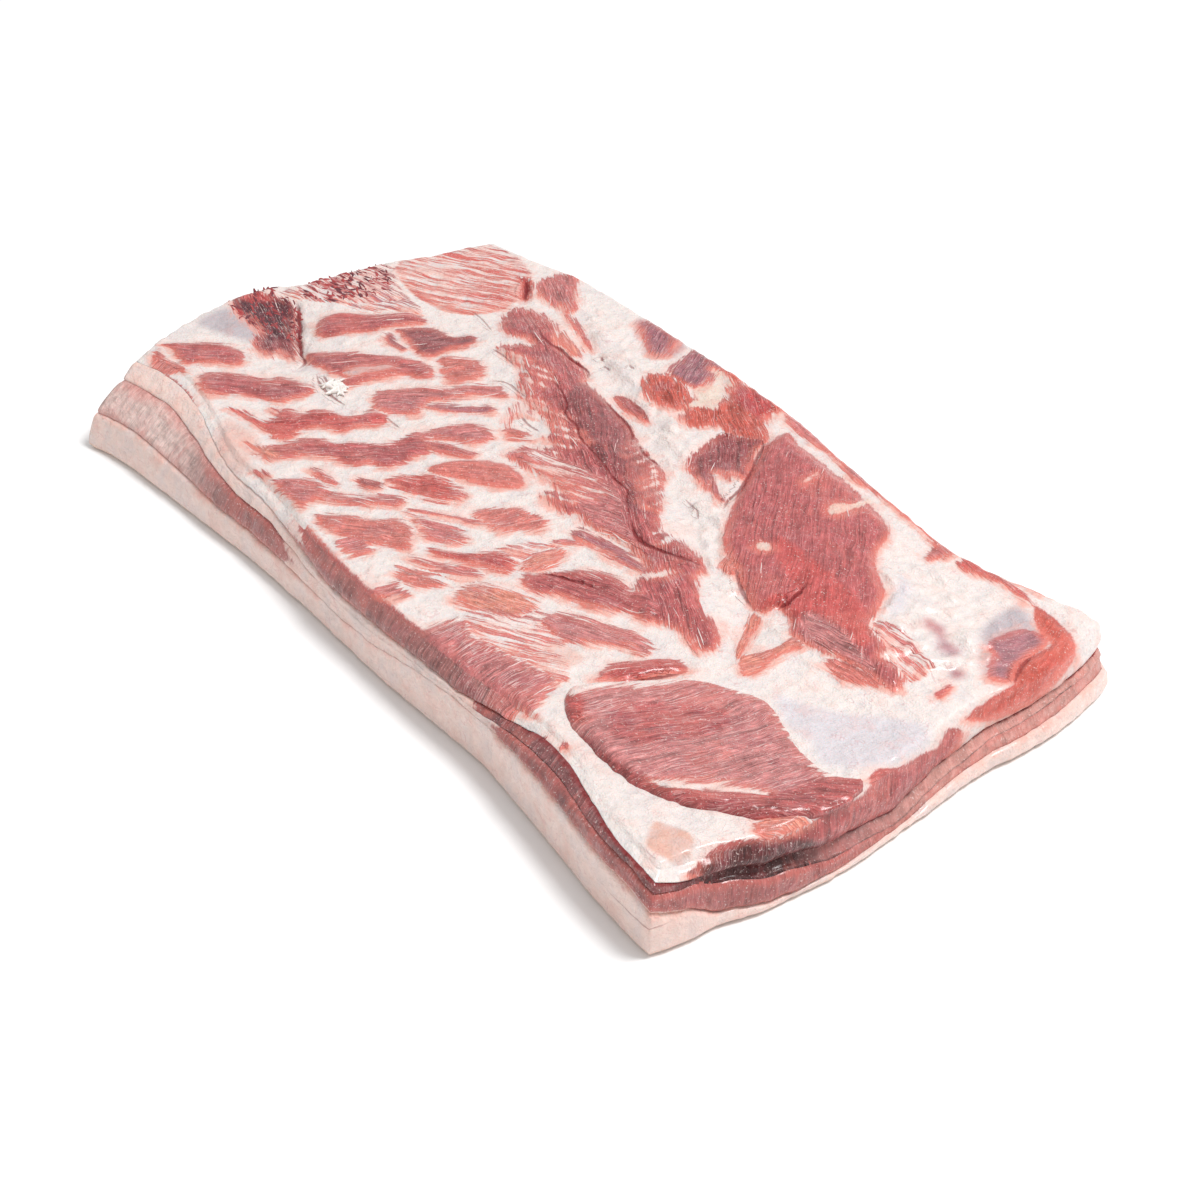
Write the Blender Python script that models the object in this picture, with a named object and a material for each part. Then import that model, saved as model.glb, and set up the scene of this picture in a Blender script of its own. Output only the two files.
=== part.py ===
"""Raw pork belly slab: a whole belly lying on its skin, rib side up.

Four layers run through the slab, each a closed solid: fat_cap (skin and back
fat), lower_lean, seam_fat and rib_side_meat. On them, near one corner, lies
near_muscle, a thick muscle whose cut edge stands above the fat around it.
Metres, +Z up, origin at the middle of the resting face.
"""

import math

import bpy
import numpy as np
from mathutils import Vector
from mathutils.geometry import delaunay_2d_cdt

MM = 0.001

# Driving dimensions of the slab.
SLAB_LENGTH = 572 * MM          # along X, at the foot
SLAB_WIDTH = 316 * MM           # along Y, at the foot
SLAB_HEIGHT = 42.5 * MM         # rib side above the resting face, before its relief
MUSCLE_THICKNESS = 8 * MM       # near muscle at its cut edge
MUSCLE_THIN_SHARE = 0.3         # of that is left where it runs out under the membrane
MUSCLE_ROUND = 7 * MM           # rounding of its upper edge
BED_MARGIN = 13 * MM            # flat bed round the muscle's outline
LAYER_GAP = 0.3 * MM            # air between two layers that touch
# How far each corner is rounded in, of half a side: far end and near side, by width.
CORNER_PULLS = ((0.012, 0.034), (0.010, 0.022))
FOOT_ROUND = 4 * MM             # rounding of the skin edge at the resting face

# Net of the top face, and of the faces inside the slab.
TOP_CELLS_LONG = 54
TOP_CELLS_WIDE = 30
INNER_CELLS_LONG = 9
INNER_CELLS_WIDE = 5
WALL_RINGS = 2
MUSCLE_CELL = 11 * MM

# Middle of the finished slab's box, in the millimetres of the outlines below.
OUTLINE_CENTRE = (-15.60, 8.23)

# Outline of the slab's foot in millimetres: four sides between its four corners.
SIDE_LEFT = [(-277, -141), (-244, -133), (-172, -129), (-110, -127), (-40, -129),
             (15, -132), (98, -132), (125, -135), (170, -142), (215, -150), (262, -156)]
SIDE_NEAR = [(262, -156), (264, -134), (265, -115), (271, -92), (275, -52), (273, -15),
             (268, 30), (266, 62), (268, 79), (268, 114), (264, 158)]
SIDE_FAR = [(-270, 156), (-250, 160), (-220, 163), (-180, 171), (-120, 171), (-40, 170),
            (20, 165), (60, 158), (100, 151), (160, 144), (200, 149), (222, 155), (243, 162),
            (264, 158)]
SIDE_END = [(-277, -141), (-281, -112), (-290, -82), (-301, -50), (-307, -15), (-305, 8),
            (-296, 28), (-291, 60), (-286, 85), (-277, 108), (-273, 130), (-270, 156)]

# Rim of the slab, station by station round the loop. Place on the loop is
# 0 at the left end corner, 1 at the near left, 2 at the near right, 3 at the far
# right corner. Then the height of each layer's upper face at the rim, and how far
# that face's edge is set back from its side of the foot, in millimetres.
#          place   fat   lean  seam  top    set back of the same four
RIM = [
    (0.06, (22, 37, 44, 46), (6, 26, 38, 46)),
    (0.26, (17, 30, 36, 43), (2, 8, 13, 18)),
    (0.46, (17, 25, 29, 43), (1, 2, 3, 7)),
    (0.66, (30, 32, 34, 43), (0, 1, 2, 9)),
    (0.82, (33, 40, 43, 45.5), (0, 5, 13, 18)),
    (0.96, (31, 40, 43.5, 46), (0, 2, 4, 9)),
    (1.06, (21, 33, 36, 45), (0, 1, 3, 8)),
    (1.13, (9, 25, 30, 44), (0, 1, 5, 6)),
    (1.22, (5, 20, 25, 43), (0, 0, 6, 4)),
    (1.34, (4, 12, 18, 43), (0, 1, 6, 4)),
    (1.46, (4, 8, 14, 43), (0, 1, 5, 5)),
    (1.62, (9, 14, 20, 43), (0, 1, 6, 6)),
    (1.76, (11, 19, 22.5, 43), (0, 2, 7, 5)),
    (1.90, (13, 20, 23.5, 42), (1, 3, 7, 6)),
    (2.20, (15, 24, 31, 43), (2, 4, 6, 5)),
    (2.60, (17, 28, 33, 43), (2, 3, 4, 4)),
    (2.92, (18, 29, 35, 43), (2, 3, 4, 4)),
    (3.30, (18, 30, 36, 43), (2, 3, 4, 4)),
    (3.70, (19, 31, 37, 44), (2, 4, 4, 3)),
]

# Broad relief of the rib side: long mounds and hollows (millimetres), each from
# one end to the other, then half width and height.
RELIEF = [
    ("big_muscle", (60, 115), (190, 50), 40, 5.0),
    ("long_muscle", (-150, 90), (110, 5), 24, 4.5),
    ("fat_valley", (-120, 115), (140, 10), 13, -3.5),
    ("far_red_patch", (-60, 140), (10, 135), 20, 2.0),
    ("membrane", (190, 5), (250, 0), 22, -3.0),
    ("far_corner_fat", (180, 110), (235, 100), 25, -2.0),
    ("rib_finger_1", (-278, -75), (-245, -50), 13, 2.5),
    ("rib_finger_2", (-238, -78), (-185, -45), 15, 2.5),
    ("rib_finger_3", (-185, -85), (-140, -25), 14, 2.2),
    ("rib_finger_4", (-145, -85), (-100, -35), 13, 2.0),
    ("rib_finger_5", (-245, 10), (-210, 55), 13, 2.0),
    ("rib_finger_6", (-212, -15), (-165, 30), 16, 2.2),
    ("rib_finger_7", (-150, -12), (-112, 35), 13, 1.8),
    ("rib_finger_8", (-108, -15), (-85, 20), 12, 2.0),
    ("rib_finger_9", (-72, -20), (-42, 0), 14, 2.4),
    ("frayed_hollow", (-285, 5), (-225, -20), 16, -4.0),
]

# Outline of the near muscle, round its bed on the rib side, in millimetres.
NEAR_MUSCLE = [(128, -98), (131, -83), (141, -65), (155, -44), (172, -33), (192, -25),
               (212, -30), (236, -38), (256, -36), (266, -28), (270, -44), (265, -66),
               (254, -84), (238, -98), (220, -110), (198, -116), (172, -115), (146, -110)]

LAYERS = [
    # name, colour, roughness, how far the wall bulges out (millimetres)
    ("fat_cap", (0.80, 0.58, 0.50), 0.45, 3.5),
    ("lower_lean", (0.42, 0.13, 0.12), 0.40, 2.0),
    ("seam_fat", (0.86, 0.74, 0.66), 0.42, 2.5),
    ("rib_side_meat", (0.52, 0.13, 0.12), 0.36, 3.0),
]


def clear_objects():
    for old in list(bpy.data.objects):
        bpy.data.objects.remove(old, do_unlink=True)


def placed(points):
    """Millimetres of the outlines to metres from the origin."""
    return (np.array(points, float) - OUTLINE_CENTRE) * MM


def smooth_curve(points, count, closed=False):
    """Evenly spaced points on a smooth curve through the given ones, in metres."""
    given = placed(points)
    if closed:
        ends = np.vstack([given[-1], given, given[0], given[1]])
        given = np.vstack([given, given[0]])
    else:
        ends = np.vstack([2 * given[0] - given[1], given, 2 * given[-1] - given[-2]])
    dense = []
    for i in range(1, len(ends) - 2):
        before, start, end, after = ends[i - 1:i + 3]
        for t in np.linspace(0, 1, 24, endpoint=False):
            dense.append(0.5 * (2 * start + (end - before) * t
                                + (2 * before - 5 * start + 4 * end - after) * t ** 2
                                + (3 * start - before - 3 * end + after) * t ** 3))
    dense = np.array(dense + [given[-1]])
    run = np.r_[0, np.cumsum(np.linalg.norm(np.diff(dense, axis=0), axis=1))]
    wanted = np.linspace(0, run[-1], count)
    return np.column_stack([np.interp(wanted, run, dense[:, k]) for k in (0, 1)])


CURVE_POINTS = 401
CURVES = {name: smooth_curve(side, CURVE_POINTS) for name, side in
          (("left", SIDE_LEFT), ("near", SIDE_NEAR), ("far", SIDE_FAR), ("end", SIDE_END))}


def along(name, t):
    curve = CURVES[name]
    steps = np.linspace(0, 1, len(curve))
    return np.stack([np.interp(t, steps, curve[:, k]) for k in (0, 1)], axis=-1)


def smooth_between(place, stations, values):
    """Values that pass smoothly from station to station, level past the first and last."""
    stations, values = np.array(stations, float), np.array(values, float)
    step = np.clip(np.searchsorted(stations, place, side="right") - 1, 0, len(stations) - 2)
    t = np.clip((place - stations[step]) / (stations[step + 1] - stations[step]), 0, 1)
    t = t * t * (3 - 2 * t)
    return values[step] * (1 - t) + values[step + 1] * t


def side_setback(level, side, t):
    """How far a level is set back along one side, t from that side's first corner."""
    rows = [row for row in RIM if side < row[0] < side + 1]
    return smooth_between(side + t, [row[0] for row in rows], [row[2][level] for row in rows]) * MM


def round_corners(u, v):
    a, b = 2 * u - 1, 2 * v - 1
    pull = np.array(CORNER_PULLS)[(a > 0).astype(int), (b > 0).astype(int)]
    corner = np.abs(a) ** 7 * np.abs(b) ** 7 * pull
    return (a - np.sign(a) * corner + 1) / 2, (b - np.sign(b) * corner + 1) / 2


def plan(level, u, v):
    """Place of a level in plan: u runs from the end to the near side, v across."""
    u, v = round_corners(u, v)
    if level >= 0:
        left = side_setback(level, 0, u) / SLAB_WIDTH
        near = side_setback(level, 1, v) / SLAB_LENGTH
        far = side_setback(level, 2, 1 - u) / SLAB_WIDTH
        end = side_setback(level, 3, 1 - v) / SLAB_LENGTH
        u, v = end + u * (1 - end - near), left + v * (1 - left - far)
    left, far, near, end = along("left", u), along("far", u), along("near", v), along("end", v)
    u, v = u[..., None], v[..., None]
    corners = ((1 - u) * (1 - v) * CURVES["left"][0] + u * (1 - v) * CURVES["left"][-1]
               + (1 - u) * v * CURVES["far"][0] + u * v * CURVES["far"][-1])
    return (1 - v) * left + v * far + (1 - u) * end + u * near - corners


def loop_place(u, v):
    """Place of the nearest rim point on the loop, 0 to 4 from the left end corner."""
    to_side = np.stack([v * SLAB_WIDTH, (1 - u) * SLAB_LENGTH,
                        (1 - v) * SLAB_WIDTH, u * SLAB_LENGTH], axis=-1)
    side = np.argmin(to_side, axis=-1)
    return np.choose(side, [u, 1 + v, 3 - u, 4 - v])


def rim_height(level, place):
    """Height of a level's rim, smooth round the closed loop of four sides."""
    stations, heights = [row[0] for row in RIM], [row[1][level] for row in RIM]
    stations = [stations[-1] - 4] + stations + [stations[0] + 4]
    heights = [heights[-1]] + heights + [heights[0]]
    return smooth_between(place, stations, heights) * MM


def relief(xy):
    """Height of the rib side's mounds and hollows at places in plan."""
    total = np.zeros(xy.shape[:-1])
    for _, start, end, half_width, height in RELIEF:
        start, end = placed(start), placed(end)
        run = end - start
        t = np.clip(((xy - start) @ run) / (run @ run), 0, 1)
        away = np.linalg.norm(xy - start - t[..., None] * run, axis=-1)
        total += height * MM * np.exp(-(away / (half_width * MM)) ** 2)
    return total


def rim_weight(u, v):
    """1 at the rim, falling to 0 about a fifth of the width inside it."""
    depth = np.minimum.reduce([u * SLAB_LENGTH, (1 - u) * SLAB_LENGTH,
                               v * SLAB_WIDTH, (1 - v) * SLAB_WIDTH])
    t = np.clip(depth / (0.2 * SLAB_WIDTH), 0, 1)
    return 1 - t * t * (3 - 2 * t)


def depth_inside(xy, loop):
    """How deep places lie inside a closed loop; negative outside it."""
    start, run = loop, np.roll(loop, -1, axis=0) - loop
    from_start = xy[:, None] - start[None]
    t = np.clip((from_start * run).sum(-1) / (run * run).sum(-1), 0, 1)
    depth = np.linalg.norm(from_start - t[..., None] * run, axis=-1).min(axis=1)
    end = start + run
    crosses = (start[:, 1] > xy[:, None, 1]) != (end[:, 1] > xy[:, None, 1])
    rise = np.where(run[:, 1] == 0, 1e-12, run[:, 1])
    meets = start[:, 0] + (xy[:, None, 1] - start[:, 1]) / rise * run[:, 0]
    inside = (crosses & (xy[:, None, 0] < meets)).sum(axis=1) % 2 == 1
    return np.where(inside, depth, -depth)


MUSCLE_POINTS = 56
MUSCLE_LOOP = smooth_curve(NEAR_MUSCLE, MUSCLE_POINTS + 1, closed=True)[:-1][::-1]
BED_HEIGHT = 42.5 * MM
INNER_HEIGHTS = (18 * MM, 29 * MM, 34 * MM, SLAB_HEIGHT)


def level_height(level, u, v, xy):
    weight = rim_weight(u, v)
    height = weight * rim_height(level, loop_place(u, v)) + (1 - weight) * INNER_HEIGHTS[level]
    if level == len(LAYERS) - 1:
        height = height + relief(xy) * (1 - weight ** 3)
        over = np.clip((depth_inside(xy, MUSCLE_LOOP) + 2 * BED_MARGIN) / BED_MARGIN, 0, 1)
        height = height * (1 - over) + BED_HEIGHT * over
    return height


def border_parameters():
    """The loop of border places of the top net, in order, with each one's outward way."""
    long_steps = np.linspace(0, 1, TOP_CELLS_LONG + 1)
    wide_steps = np.linspace(0, 1, TOP_CELLS_WIDE + 1)
    return ([(u, 0.0) for u in long_steps[:-1]] + [(1.0, v) for v in wide_steps[:-1]]
            + [(u, 1.0) for u in long_steps[:0:-1]] + [(0.0, v) for v in wide_steps[:0:-1]])


def outward(loop):
    """Unit vectors square to a closed loop in plan, pointing out of it."""
    ahead = np.roll(loop, -1, axis=0) - np.roll(loop, 1, axis=0)
    ahead = (np.roll(ahead, 1, axis=0) + 2 * ahead + np.roll(ahead, -1, axis=0)) / 4
    normal = np.column_stack([ahead[:, 1], -ahead[:, 0]])
    return normal / np.linalg.norm(normal, axis=1, keepdims=True)


def inner_net():
    """Border places and a few inner ones, with the triangles that join them."""
    border = border_parameters()
    inner = [(i / INNER_CELLS_LONG, j / INNER_CELLS_WIDE)
             for i in range(1, INNER_CELLS_LONG) for j in range(1, INNER_CELLS_WIDE)]
    uv = border + inner
    faces = delaunay_2d_cdt([Vector(p) for p in uv], [], [], 0, 1e-9)[2]
    return np.array(uv), [tuple(face) for face in faces]


def top_net():
    """The fine net of the rib side, its border first and in the border's order."""
    border = border_parameters()
    inner = [(i / TOP_CELLS_LONG, j / TOP_CELLS_WIDE)
             for i in range(1, TOP_CELLS_LONG) for j in range(1, TOP_CELLS_WIDE)]
    uv = border + inner
    number = {(round(u * TOP_CELLS_LONG), round(v * TOP_CELLS_WIDE)): k
              for k, (u, v) in enumerate(uv)}
    faces = []
    for i in range(TOP_CELLS_LONG):
        for j in range(TOP_CELLS_WIDE):
            corners = [number[i + di, j + dj] for di, dj in ((0, 0), (1, 0), (1, 1), (0, 1))]
            faces.append((corners[0], corners[1], corners[2]))
            faces.append((corners[0], corners[2], corners[3]))
    return np.array(uv), faces


def level_points(level, uv):
    """Points of one level's face; the foot is flat and lies on the ground."""
    xy = plan(level, uv[:, 0], uv[:, 1])
    if level < 0:
        return np.column_stack([xy, np.zeros(len(xy))])
    return np.column_stack([xy, level_height(level, uv[:, 0], uv[:, 1], xy)])


def wall_rings(bottom, top, bulge):
    """Rings between a layer's lower and upper border, swelling outwards."""
    way = outward((bottom[:, :2] + top[:, :2]) / 2)
    rings = []
    for k in range(1, WALL_RINGS + 1):
        t = k / (WALL_RINGS + 1)
        ring = bottom * (1 - t) + top * t
        thickness = top[:, 2] - bottom[:, 2]
        swell = np.minimum(bulge * MM, 0.3 * thickness) * math.sin(math.pi * t) ** 0.7
        ring[:, :2] += way * swell[:, None]
        rings.append(ring)
    return rings


def build_layer(index, name, colour, roughness, bulge):
    is_foot = index == 0
    is_top = index == len(LAYERS) - 1
    low_uv, low_faces = inner_net()
    high_uv, high_faces = top_net() if is_top else inner_net()
    low = level_points(index - 1, low_uv)
    high = level_points(index, high_uv)
    if not is_foot:
        low[:, 2] += LAYER_GAP / 2
    if not is_top:
        high[:, 2] -= LAYER_GAP / 2
    border = len(border_parameters())
    if is_foot:
        way = outward(low[:border, :2])
        low[:border, :2] -= way * FOOT_ROUND
    rings = wall_rings(low[:border], high[:border], bulge)
    points = np.vstack([low, high] + rings)
    starts = [0] + [len(low) + len(high) + k * border for k in range(WALL_RINGS)] + [len(low)]
    faces = [face[::-1] for face in low_faces]
    faces += [tuple(k + len(low) for k in face) for face in high_faces]
    for under, over in zip(starts[:-1], starts[1:]):
        for k in range(border):
            after = (k + 1) % border
            faces.append((under + k, under + after, over + after))
            faces.append((under + k, over + after, over + k))
    add_solid(name, points, faces, meat_material(name, colour, roughness))


def muscle_net():
    """Loop places of the near muscle, then inner ones, with the triangles between."""
    low, high = MUSCLE_LOOP.min(axis=0), MUSCLE_LOOP.max(axis=0)
    inner = []
    for row in range(math.ceil((high[1] - low[1]) / MUSCLE_CELL)):
        shift = MUSCLE_CELL / 2 * (row % 2)
        for column in range(math.ceil((high[0] - low[0]) / MUSCLE_CELL)):
            inner.append((low[0] + shift + column * MUSCLE_CELL, low[1] + row * MUSCLE_CELL))
    inner = np.array(inner)
    inner = inner[depth_inside(inner, MUSCLE_LOOP) > 0.45 * MUSCLE_CELL]
    places = np.vstack([MUSCLE_LOOP, inner])
    edges = [(k, (k + 1) % MUSCLE_POINTS) for k in range(MUSCLE_POINTS)]
    faces = delaunay_2d_cdt([Vector(p) for p in places], edges, [], 1, 1e-9)[2]
    return places, [tuple(face) for face in faces]


def build_near_muscle():
    """The thick muscle on its bed: thick at its cut edge, thin at its far edge."""
    places, net = muscle_net()
    depth = np.clip(depth_inside(places, MUSCLE_LOOP) / MUSCLE_ROUND, 0, 1)
    low_y, high_y = places[:, 1].min(), places[:, 1].max()
    across = (places[:, 1] - low_y) / (high_y - low_y)
    thickness = MUSCLE_THICKNESS * (1 - (1 - MUSCLE_THIN_SHARE) * across ** 2)
    crown = thickness * (0.45 + 0.55 * np.sqrt(1 - (1 - depth) ** 2))
    floor = BED_HEIGHT + LAYER_GAP
    low = np.column_stack([places, np.full(len(places), floor)])
    high = np.column_stack([places, floor + crown])
    faces = [face[::-1] for face in net]
    faces += [tuple(k + len(low) for k in face) for face in net]
    for k in range(MUSCLE_POINTS):
        after = (k + 1) % MUSCLE_POINTS
        faces.append((k, after, after + len(low)))
        faces.append((k, after + len(low), k + len(low)))
    add_solid("near_muscle", np.vstack([low, high]), faces,
              meat_material("near_muscle", (0.50, 0.11, 0.11), 0.36))


def add_solid(name, points, faces, material):
    mesh = bpy.data.meshes.new(name)
    mesh.from_pydata(points.tolist(), [], faces)
    mesh.validate()
    mesh.shade_smooth()
    mesh.set_sharp_from_angle(angle=math.radians(50))
    mesh.materials.append(material)
    piece = bpy.data.objects.new(name, mesh)
    bpy.context.scene.collection.objects.link(piece)


def meat_material(name, colour, roughness):
    material = bpy.data.materials.new(name)
    material.use_nodes = True
    shader = material.node_tree.nodes["Principled BSDF"]
    shader.inputs["Base Color"].default_value = (*colour, 1)
    shader.inputs["Roughness"].default_value = roughness
    shader.inputs["Metallic"].default_value = 0
    return material


def main():
    clear_objects()
    for index, (name, colour, roughness, bulge) in enumerate(LAYERS):
        build_layer(index, name, colour, roughness, bulge)
    build_near_muscle()


main()
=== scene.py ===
"""Raw pork belly slab: the looks of its layers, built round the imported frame.

Each layer of the slab is a fine closed mesh. Its lean and fat lie where the outlines
below put them: an outline is drawn in millimetres on a level plane at the height of the
rib side, and is thrown onto the meat along the line from VIEW_POINT. Thin strands and
torn shreds are scattered over the meat with Geometry Nodes.
"""

import functools
import math

import bpy
import numpy as np
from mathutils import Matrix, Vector


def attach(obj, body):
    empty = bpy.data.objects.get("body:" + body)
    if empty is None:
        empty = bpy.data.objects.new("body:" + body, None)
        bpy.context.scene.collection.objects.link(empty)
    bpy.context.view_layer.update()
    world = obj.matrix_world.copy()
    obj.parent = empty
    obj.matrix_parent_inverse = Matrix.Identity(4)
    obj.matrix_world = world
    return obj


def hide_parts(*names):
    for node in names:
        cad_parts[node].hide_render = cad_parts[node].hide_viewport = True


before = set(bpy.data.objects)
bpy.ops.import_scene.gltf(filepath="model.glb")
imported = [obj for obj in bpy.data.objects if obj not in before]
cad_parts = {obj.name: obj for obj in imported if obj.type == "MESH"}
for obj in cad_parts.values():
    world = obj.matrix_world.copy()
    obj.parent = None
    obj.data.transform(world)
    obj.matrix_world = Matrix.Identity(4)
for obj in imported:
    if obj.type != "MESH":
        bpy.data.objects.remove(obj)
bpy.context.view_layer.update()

bl_info = {
    "name": "Raw Pork Belly Slab",
    "version": (1, 0, 0),
    "blender": (4, 5, 0),
    "location": "View3D > Sidebar > Pork Belly",
    "description": "Builds the layers, muscles and fat of a raw pork belly slab",
    "category": "Object",
}

MM = 0.001

# ---------------------------------------------------------------- the slab's shape
# Outlines and rim stations as the CAD solids have them, in millimetres. A place round
# the border is 0 at the left end corner, 1 to 2 along the near side and 4 back again.
OUTLINE_CENTRE = (-15.60, 8.23)
SLAB_LENGTH = 572 * MM
SLAB_WIDTH = 316 * MM
SLAB_HEIGHT = 42.5 * MM
# How far each corner is drawn in, as a share, and how close to the corner it begins.
CORNER_PULLS = ((0.012, 0.034), (0.010, 0.022))
CORNER_SHARPNESS = 7
SIDE_LEFT = [(-277, -141), (-244, -133), (-172, -129), (-110, -127), (-40, -129),
             (15, -132), (98, -132), (125, -135), (170, -142), (215, -150), (262, -156)]
SIDE_NEAR = [(262, -156), (264, -134), (265, -115), (271, -92), (275, -52), (273, -15),
             (268, 30), (266, 62), (268, 79), (268, 114), (264, 158)]
SIDE_FAR = [(-270, 156), (-250, 160), (-220, 163), (-180, 171), (-120, 171), (-40, 170),
            (20, 165), (60, 158), (100, 151), (160, 144), (200, 149), (222, 155), (243, 162),
            (264, 158)]
SIDE_END = [(-277, -141), (-281, -112), (-290, -82), (-301, -50), (-307, -15), (-305, 8),
            (-296, 28), (-291, 60), (-286, 85), (-277, 108), (-273, 130), (-270, 156)]
# Place round the border, then heights and setbacks of the four layers' borders there.
RIM = [
    (0.06, (22, 37, 44, 46), (6, 26, 38, 46)),
    (0.26, (17, 30, 36, 43), (2, 8, 13, 18)),
    (0.46, (17, 25, 29, 43), (1, 2, 3, 7)),
    (0.66, (30, 32, 34, 43), (0, 1, 2, 9)),
    (0.82, (33, 40, 43, 45.5), (0, 5, 13, 18)),
    (0.96, (31, 40, 43.5, 46), (0, 2, 4, 9)),
    (1.06, (21, 33, 36, 45), (0, 1, 3, 8)),
    (1.13, (9, 25, 30, 44), (0, 1, 5, 6)),
    (1.22, (5, 20, 25, 43), (0, 0, 6, 4)),
    (1.34, (4, 12, 18, 43), (0, 1, 6, 4)),
    (1.46, (4, 8, 14, 43), (0, 1, 5, 5)),
    (1.62, (9, 14, 20, 43), (0, 1, 6, 6)),
    (1.76, (11, 19, 22.5, 43), (0, 2, 7, 5)),
    (1.90, (13, 20, 23.5, 42), (1, 3, 7, 6)),
    (2.20, (15, 24, 31, 43), (2, 4, 6, 5)),
    (2.60, (17, 28, 33, 43), (2, 3, 4, 4)),
    (2.92, (18, 29, 35, 43), (2, 3, 4, 4)),
    (3.30, (18, 30, 36, 43), (2, 3, 4, 4)),
    (3.70, (19, 31, 37, 44), (2, 4, 4, 3)),
]
RIM_REACH = 0.2 * SLAB_WIDTH
INNER_HEIGHTS = (18 * MM, 29 * MM, 34 * MM, SLAB_HEIGHT)
FAT_CAP, LOWER_LEAN, SEAM_FAT, RIB_SIDE = range(4)
# Rings of points up the side of each layer, and cells of the rib side's net.
SIDE_RINGS = (26, 13, 11, 11)
CELLS_LONG, CELLS_WIDE = 360, 206

VIEW_POINT = np.array((0.91569, -0.71291, 0.84101))
DRAWING_HEIGHT = 42 * MM


def placed(points):
    """Millimetres of the outlines to metres from the origin."""
    return (np.array(points, float) - OUTLINE_CENTRE) * MM


def smooth_curve(given, count=None, closed=False, steps=24):
    """Points on a smooth curve through the given ones, evenly spaced if a count is asked."""
    given = np.array(given, float)
    if closed:
        ends = np.vstack([given[-1], given, given[0], given[1]])
        given = np.vstack([given, given[0]])
    else:
        ends = np.vstack([2 * given[0] - given[1], given, 2 * given[-1] - given[-2]])
    before, start, end, after = ends[:-3], ends[1:-2], ends[2:-1], ends[3:]
    t = np.linspace(0, 1, steps, endpoint=False)[None, :, None]
    before, start, end, after = (p[:, None] for p in (before, start, end, after))
    dense = 0.5 * (2 * start + (end - before) * t
                   + (2 * before - 5 * start + 4 * end - after) * t ** 2
                   + (3 * start - before - 3 * end + after) * t ** 3)
    dense = dense.reshape(-1, given.shape[1])
    if closed and count is None:
        return dense
    dense = np.vstack([dense, given[-1]])
    if count is None:
        return dense
    run = np.r_[0, np.cumsum(np.linalg.norm(np.diff(dense, axis=0), axis=1))]
    wanted = np.linspace(0, run[-1], count)
    return np.column_stack([np.interp(wanted, run, dense[:, k]) for k in range(2)])


CURVES = {name: smooth_curve(placed(side), 401) for name, side in
          (("left", SIDE_LEFT), ("near", SIDE_NEAR), ("far", SIDE_FAR), ("end", SIDE_END))}


def along(name, t):
    curve = CURVES[name]
    steps = np.linspace(0, 1, len(curve))
    return np.stack([np.interp(t, steps, curve[:, k]) for k in (0, 1)], axis=-1)


def smooth_step(t):
    t = np.clip(t, 0, 1)
    return t * t * (3 - 2 * t)


def smooth_between(place, stations, values):
    """Values that pass smoothly from station to station, level past the first and last."""
    stations, values = np.array(stations, float), np.array(values, float)
    step = np.clip(np.searchsorted(stations, place, side="right") - 1, 0, len(stations) - 2)
    t = smooth_step((place - stations[step]) / (stations[step + 1] - stations[step]))
    return values[step] * (1 - t) + values[step + 1] * t


def round_loop(place, stations, values):
    """Smooth values round the closed loop of four sides."""
    stations = [stations[-1] - 4, *stations, stations[0] + 4]
    return smooth_between(place, stations, [values[-1], *values, values[0]])


def rim_height(level, place):
    return round_loop(place, [row[0] for row in RIM], [row[1][level] for row in RIM]) * MM


def side_setback(level, side, t):
    """How far a level is set back along one side, t from that side's first corner."""
    rows = [row for row in RIM if side < row[0] < side + 1]
    back = smooth_between(side + t, [row[0] for row in rows], [row[2][level] for row in rows])
    where = np.column_stack([(side + t) * 300, np.full(len(t), level * 40.0 + side * 7)])
    torn = noise(where, 16, 11) + 0.5 * noise(where, 5, 12)
    return back * MM + sizes().ragged_edge * torn


def round_corners(u, v):
    a, b = 2 * u - 1, 2 * v - 1
    pull = np.array(CORNER_PULLS)[(a > 0).astype(int), (b > 0).astype(int)]
    corner = np.abs(a) ** CORNER_SHARPNESS * np.abs(b) ** CORNER_SHARPNESS * pull
    return (a - np.sign(a) * corner + 1) / 2, (b - np.sign(b) * corner + 1) / 2


def plan(level, u, v):
    """Place of a level in plan: u runs from the end to the near side, v across."""
    u, v = round_corners(u, v)
    if level >= 0:
        left = side_setback(level, 0, u) / SLAB_WIDTH
        near = side_setback(level, 1, v) / SLAB_LENGTH
        far = side_setback(level, 2, 1 - u) / SLAB_WIDTH
        end = side_setback(level, 3, 1 - v) / SLAB_LENGTH
        u, v = end + u * (1 - end - near), left + v * (1 - left - far)
    left, far, near, end = along("left", u), along("far", u), along("near", v), along("end", v)
    u, v = u[..., None], v[..., None]
    corners = ((1 - u) * (1 - v) * CURVES["left"][0] + u * (1 - v) * CURVES["left"][-1]
               + (1 - u) * v * CURVES["far"][0] + u * v * CURVES["far"][-1])
    return (1 - v) * left + v * far + (1 - u) * end + u * near - corners


def loop_place(u, v):
    """Place of the nearest rim point on the loop, 0 to 4 from the left end corner."""
    to_side = np.stack([v * SLAB_WIDTH, (1 - u) * SLAB_LENGTH,
                        (1 - v) * SLAB_WIDTH, u * SLAB_LENGTH], axis=-1)
    side = np.argmin(to_side, axis=-1)
    return np.choose(side, [u, 1 + v, 3 - u, 4 - v])


def border_distance(u, v):
    """Distance inside the nearest side, in metres."""
    return np.minimum.reduce([u * SLAB_LENGTH, (1 - u) * SLAB_LENGTH,
                              v * SLAB_WIDTH, (1 - v) * SLAB_WIDTH])


def rim_weight(u, v):
    """1 at the rim, falling to 0 where the slab's inner heights begin."""
    return 1 - smooth_step(border_distance(u, v) / RIM_REACH)


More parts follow.
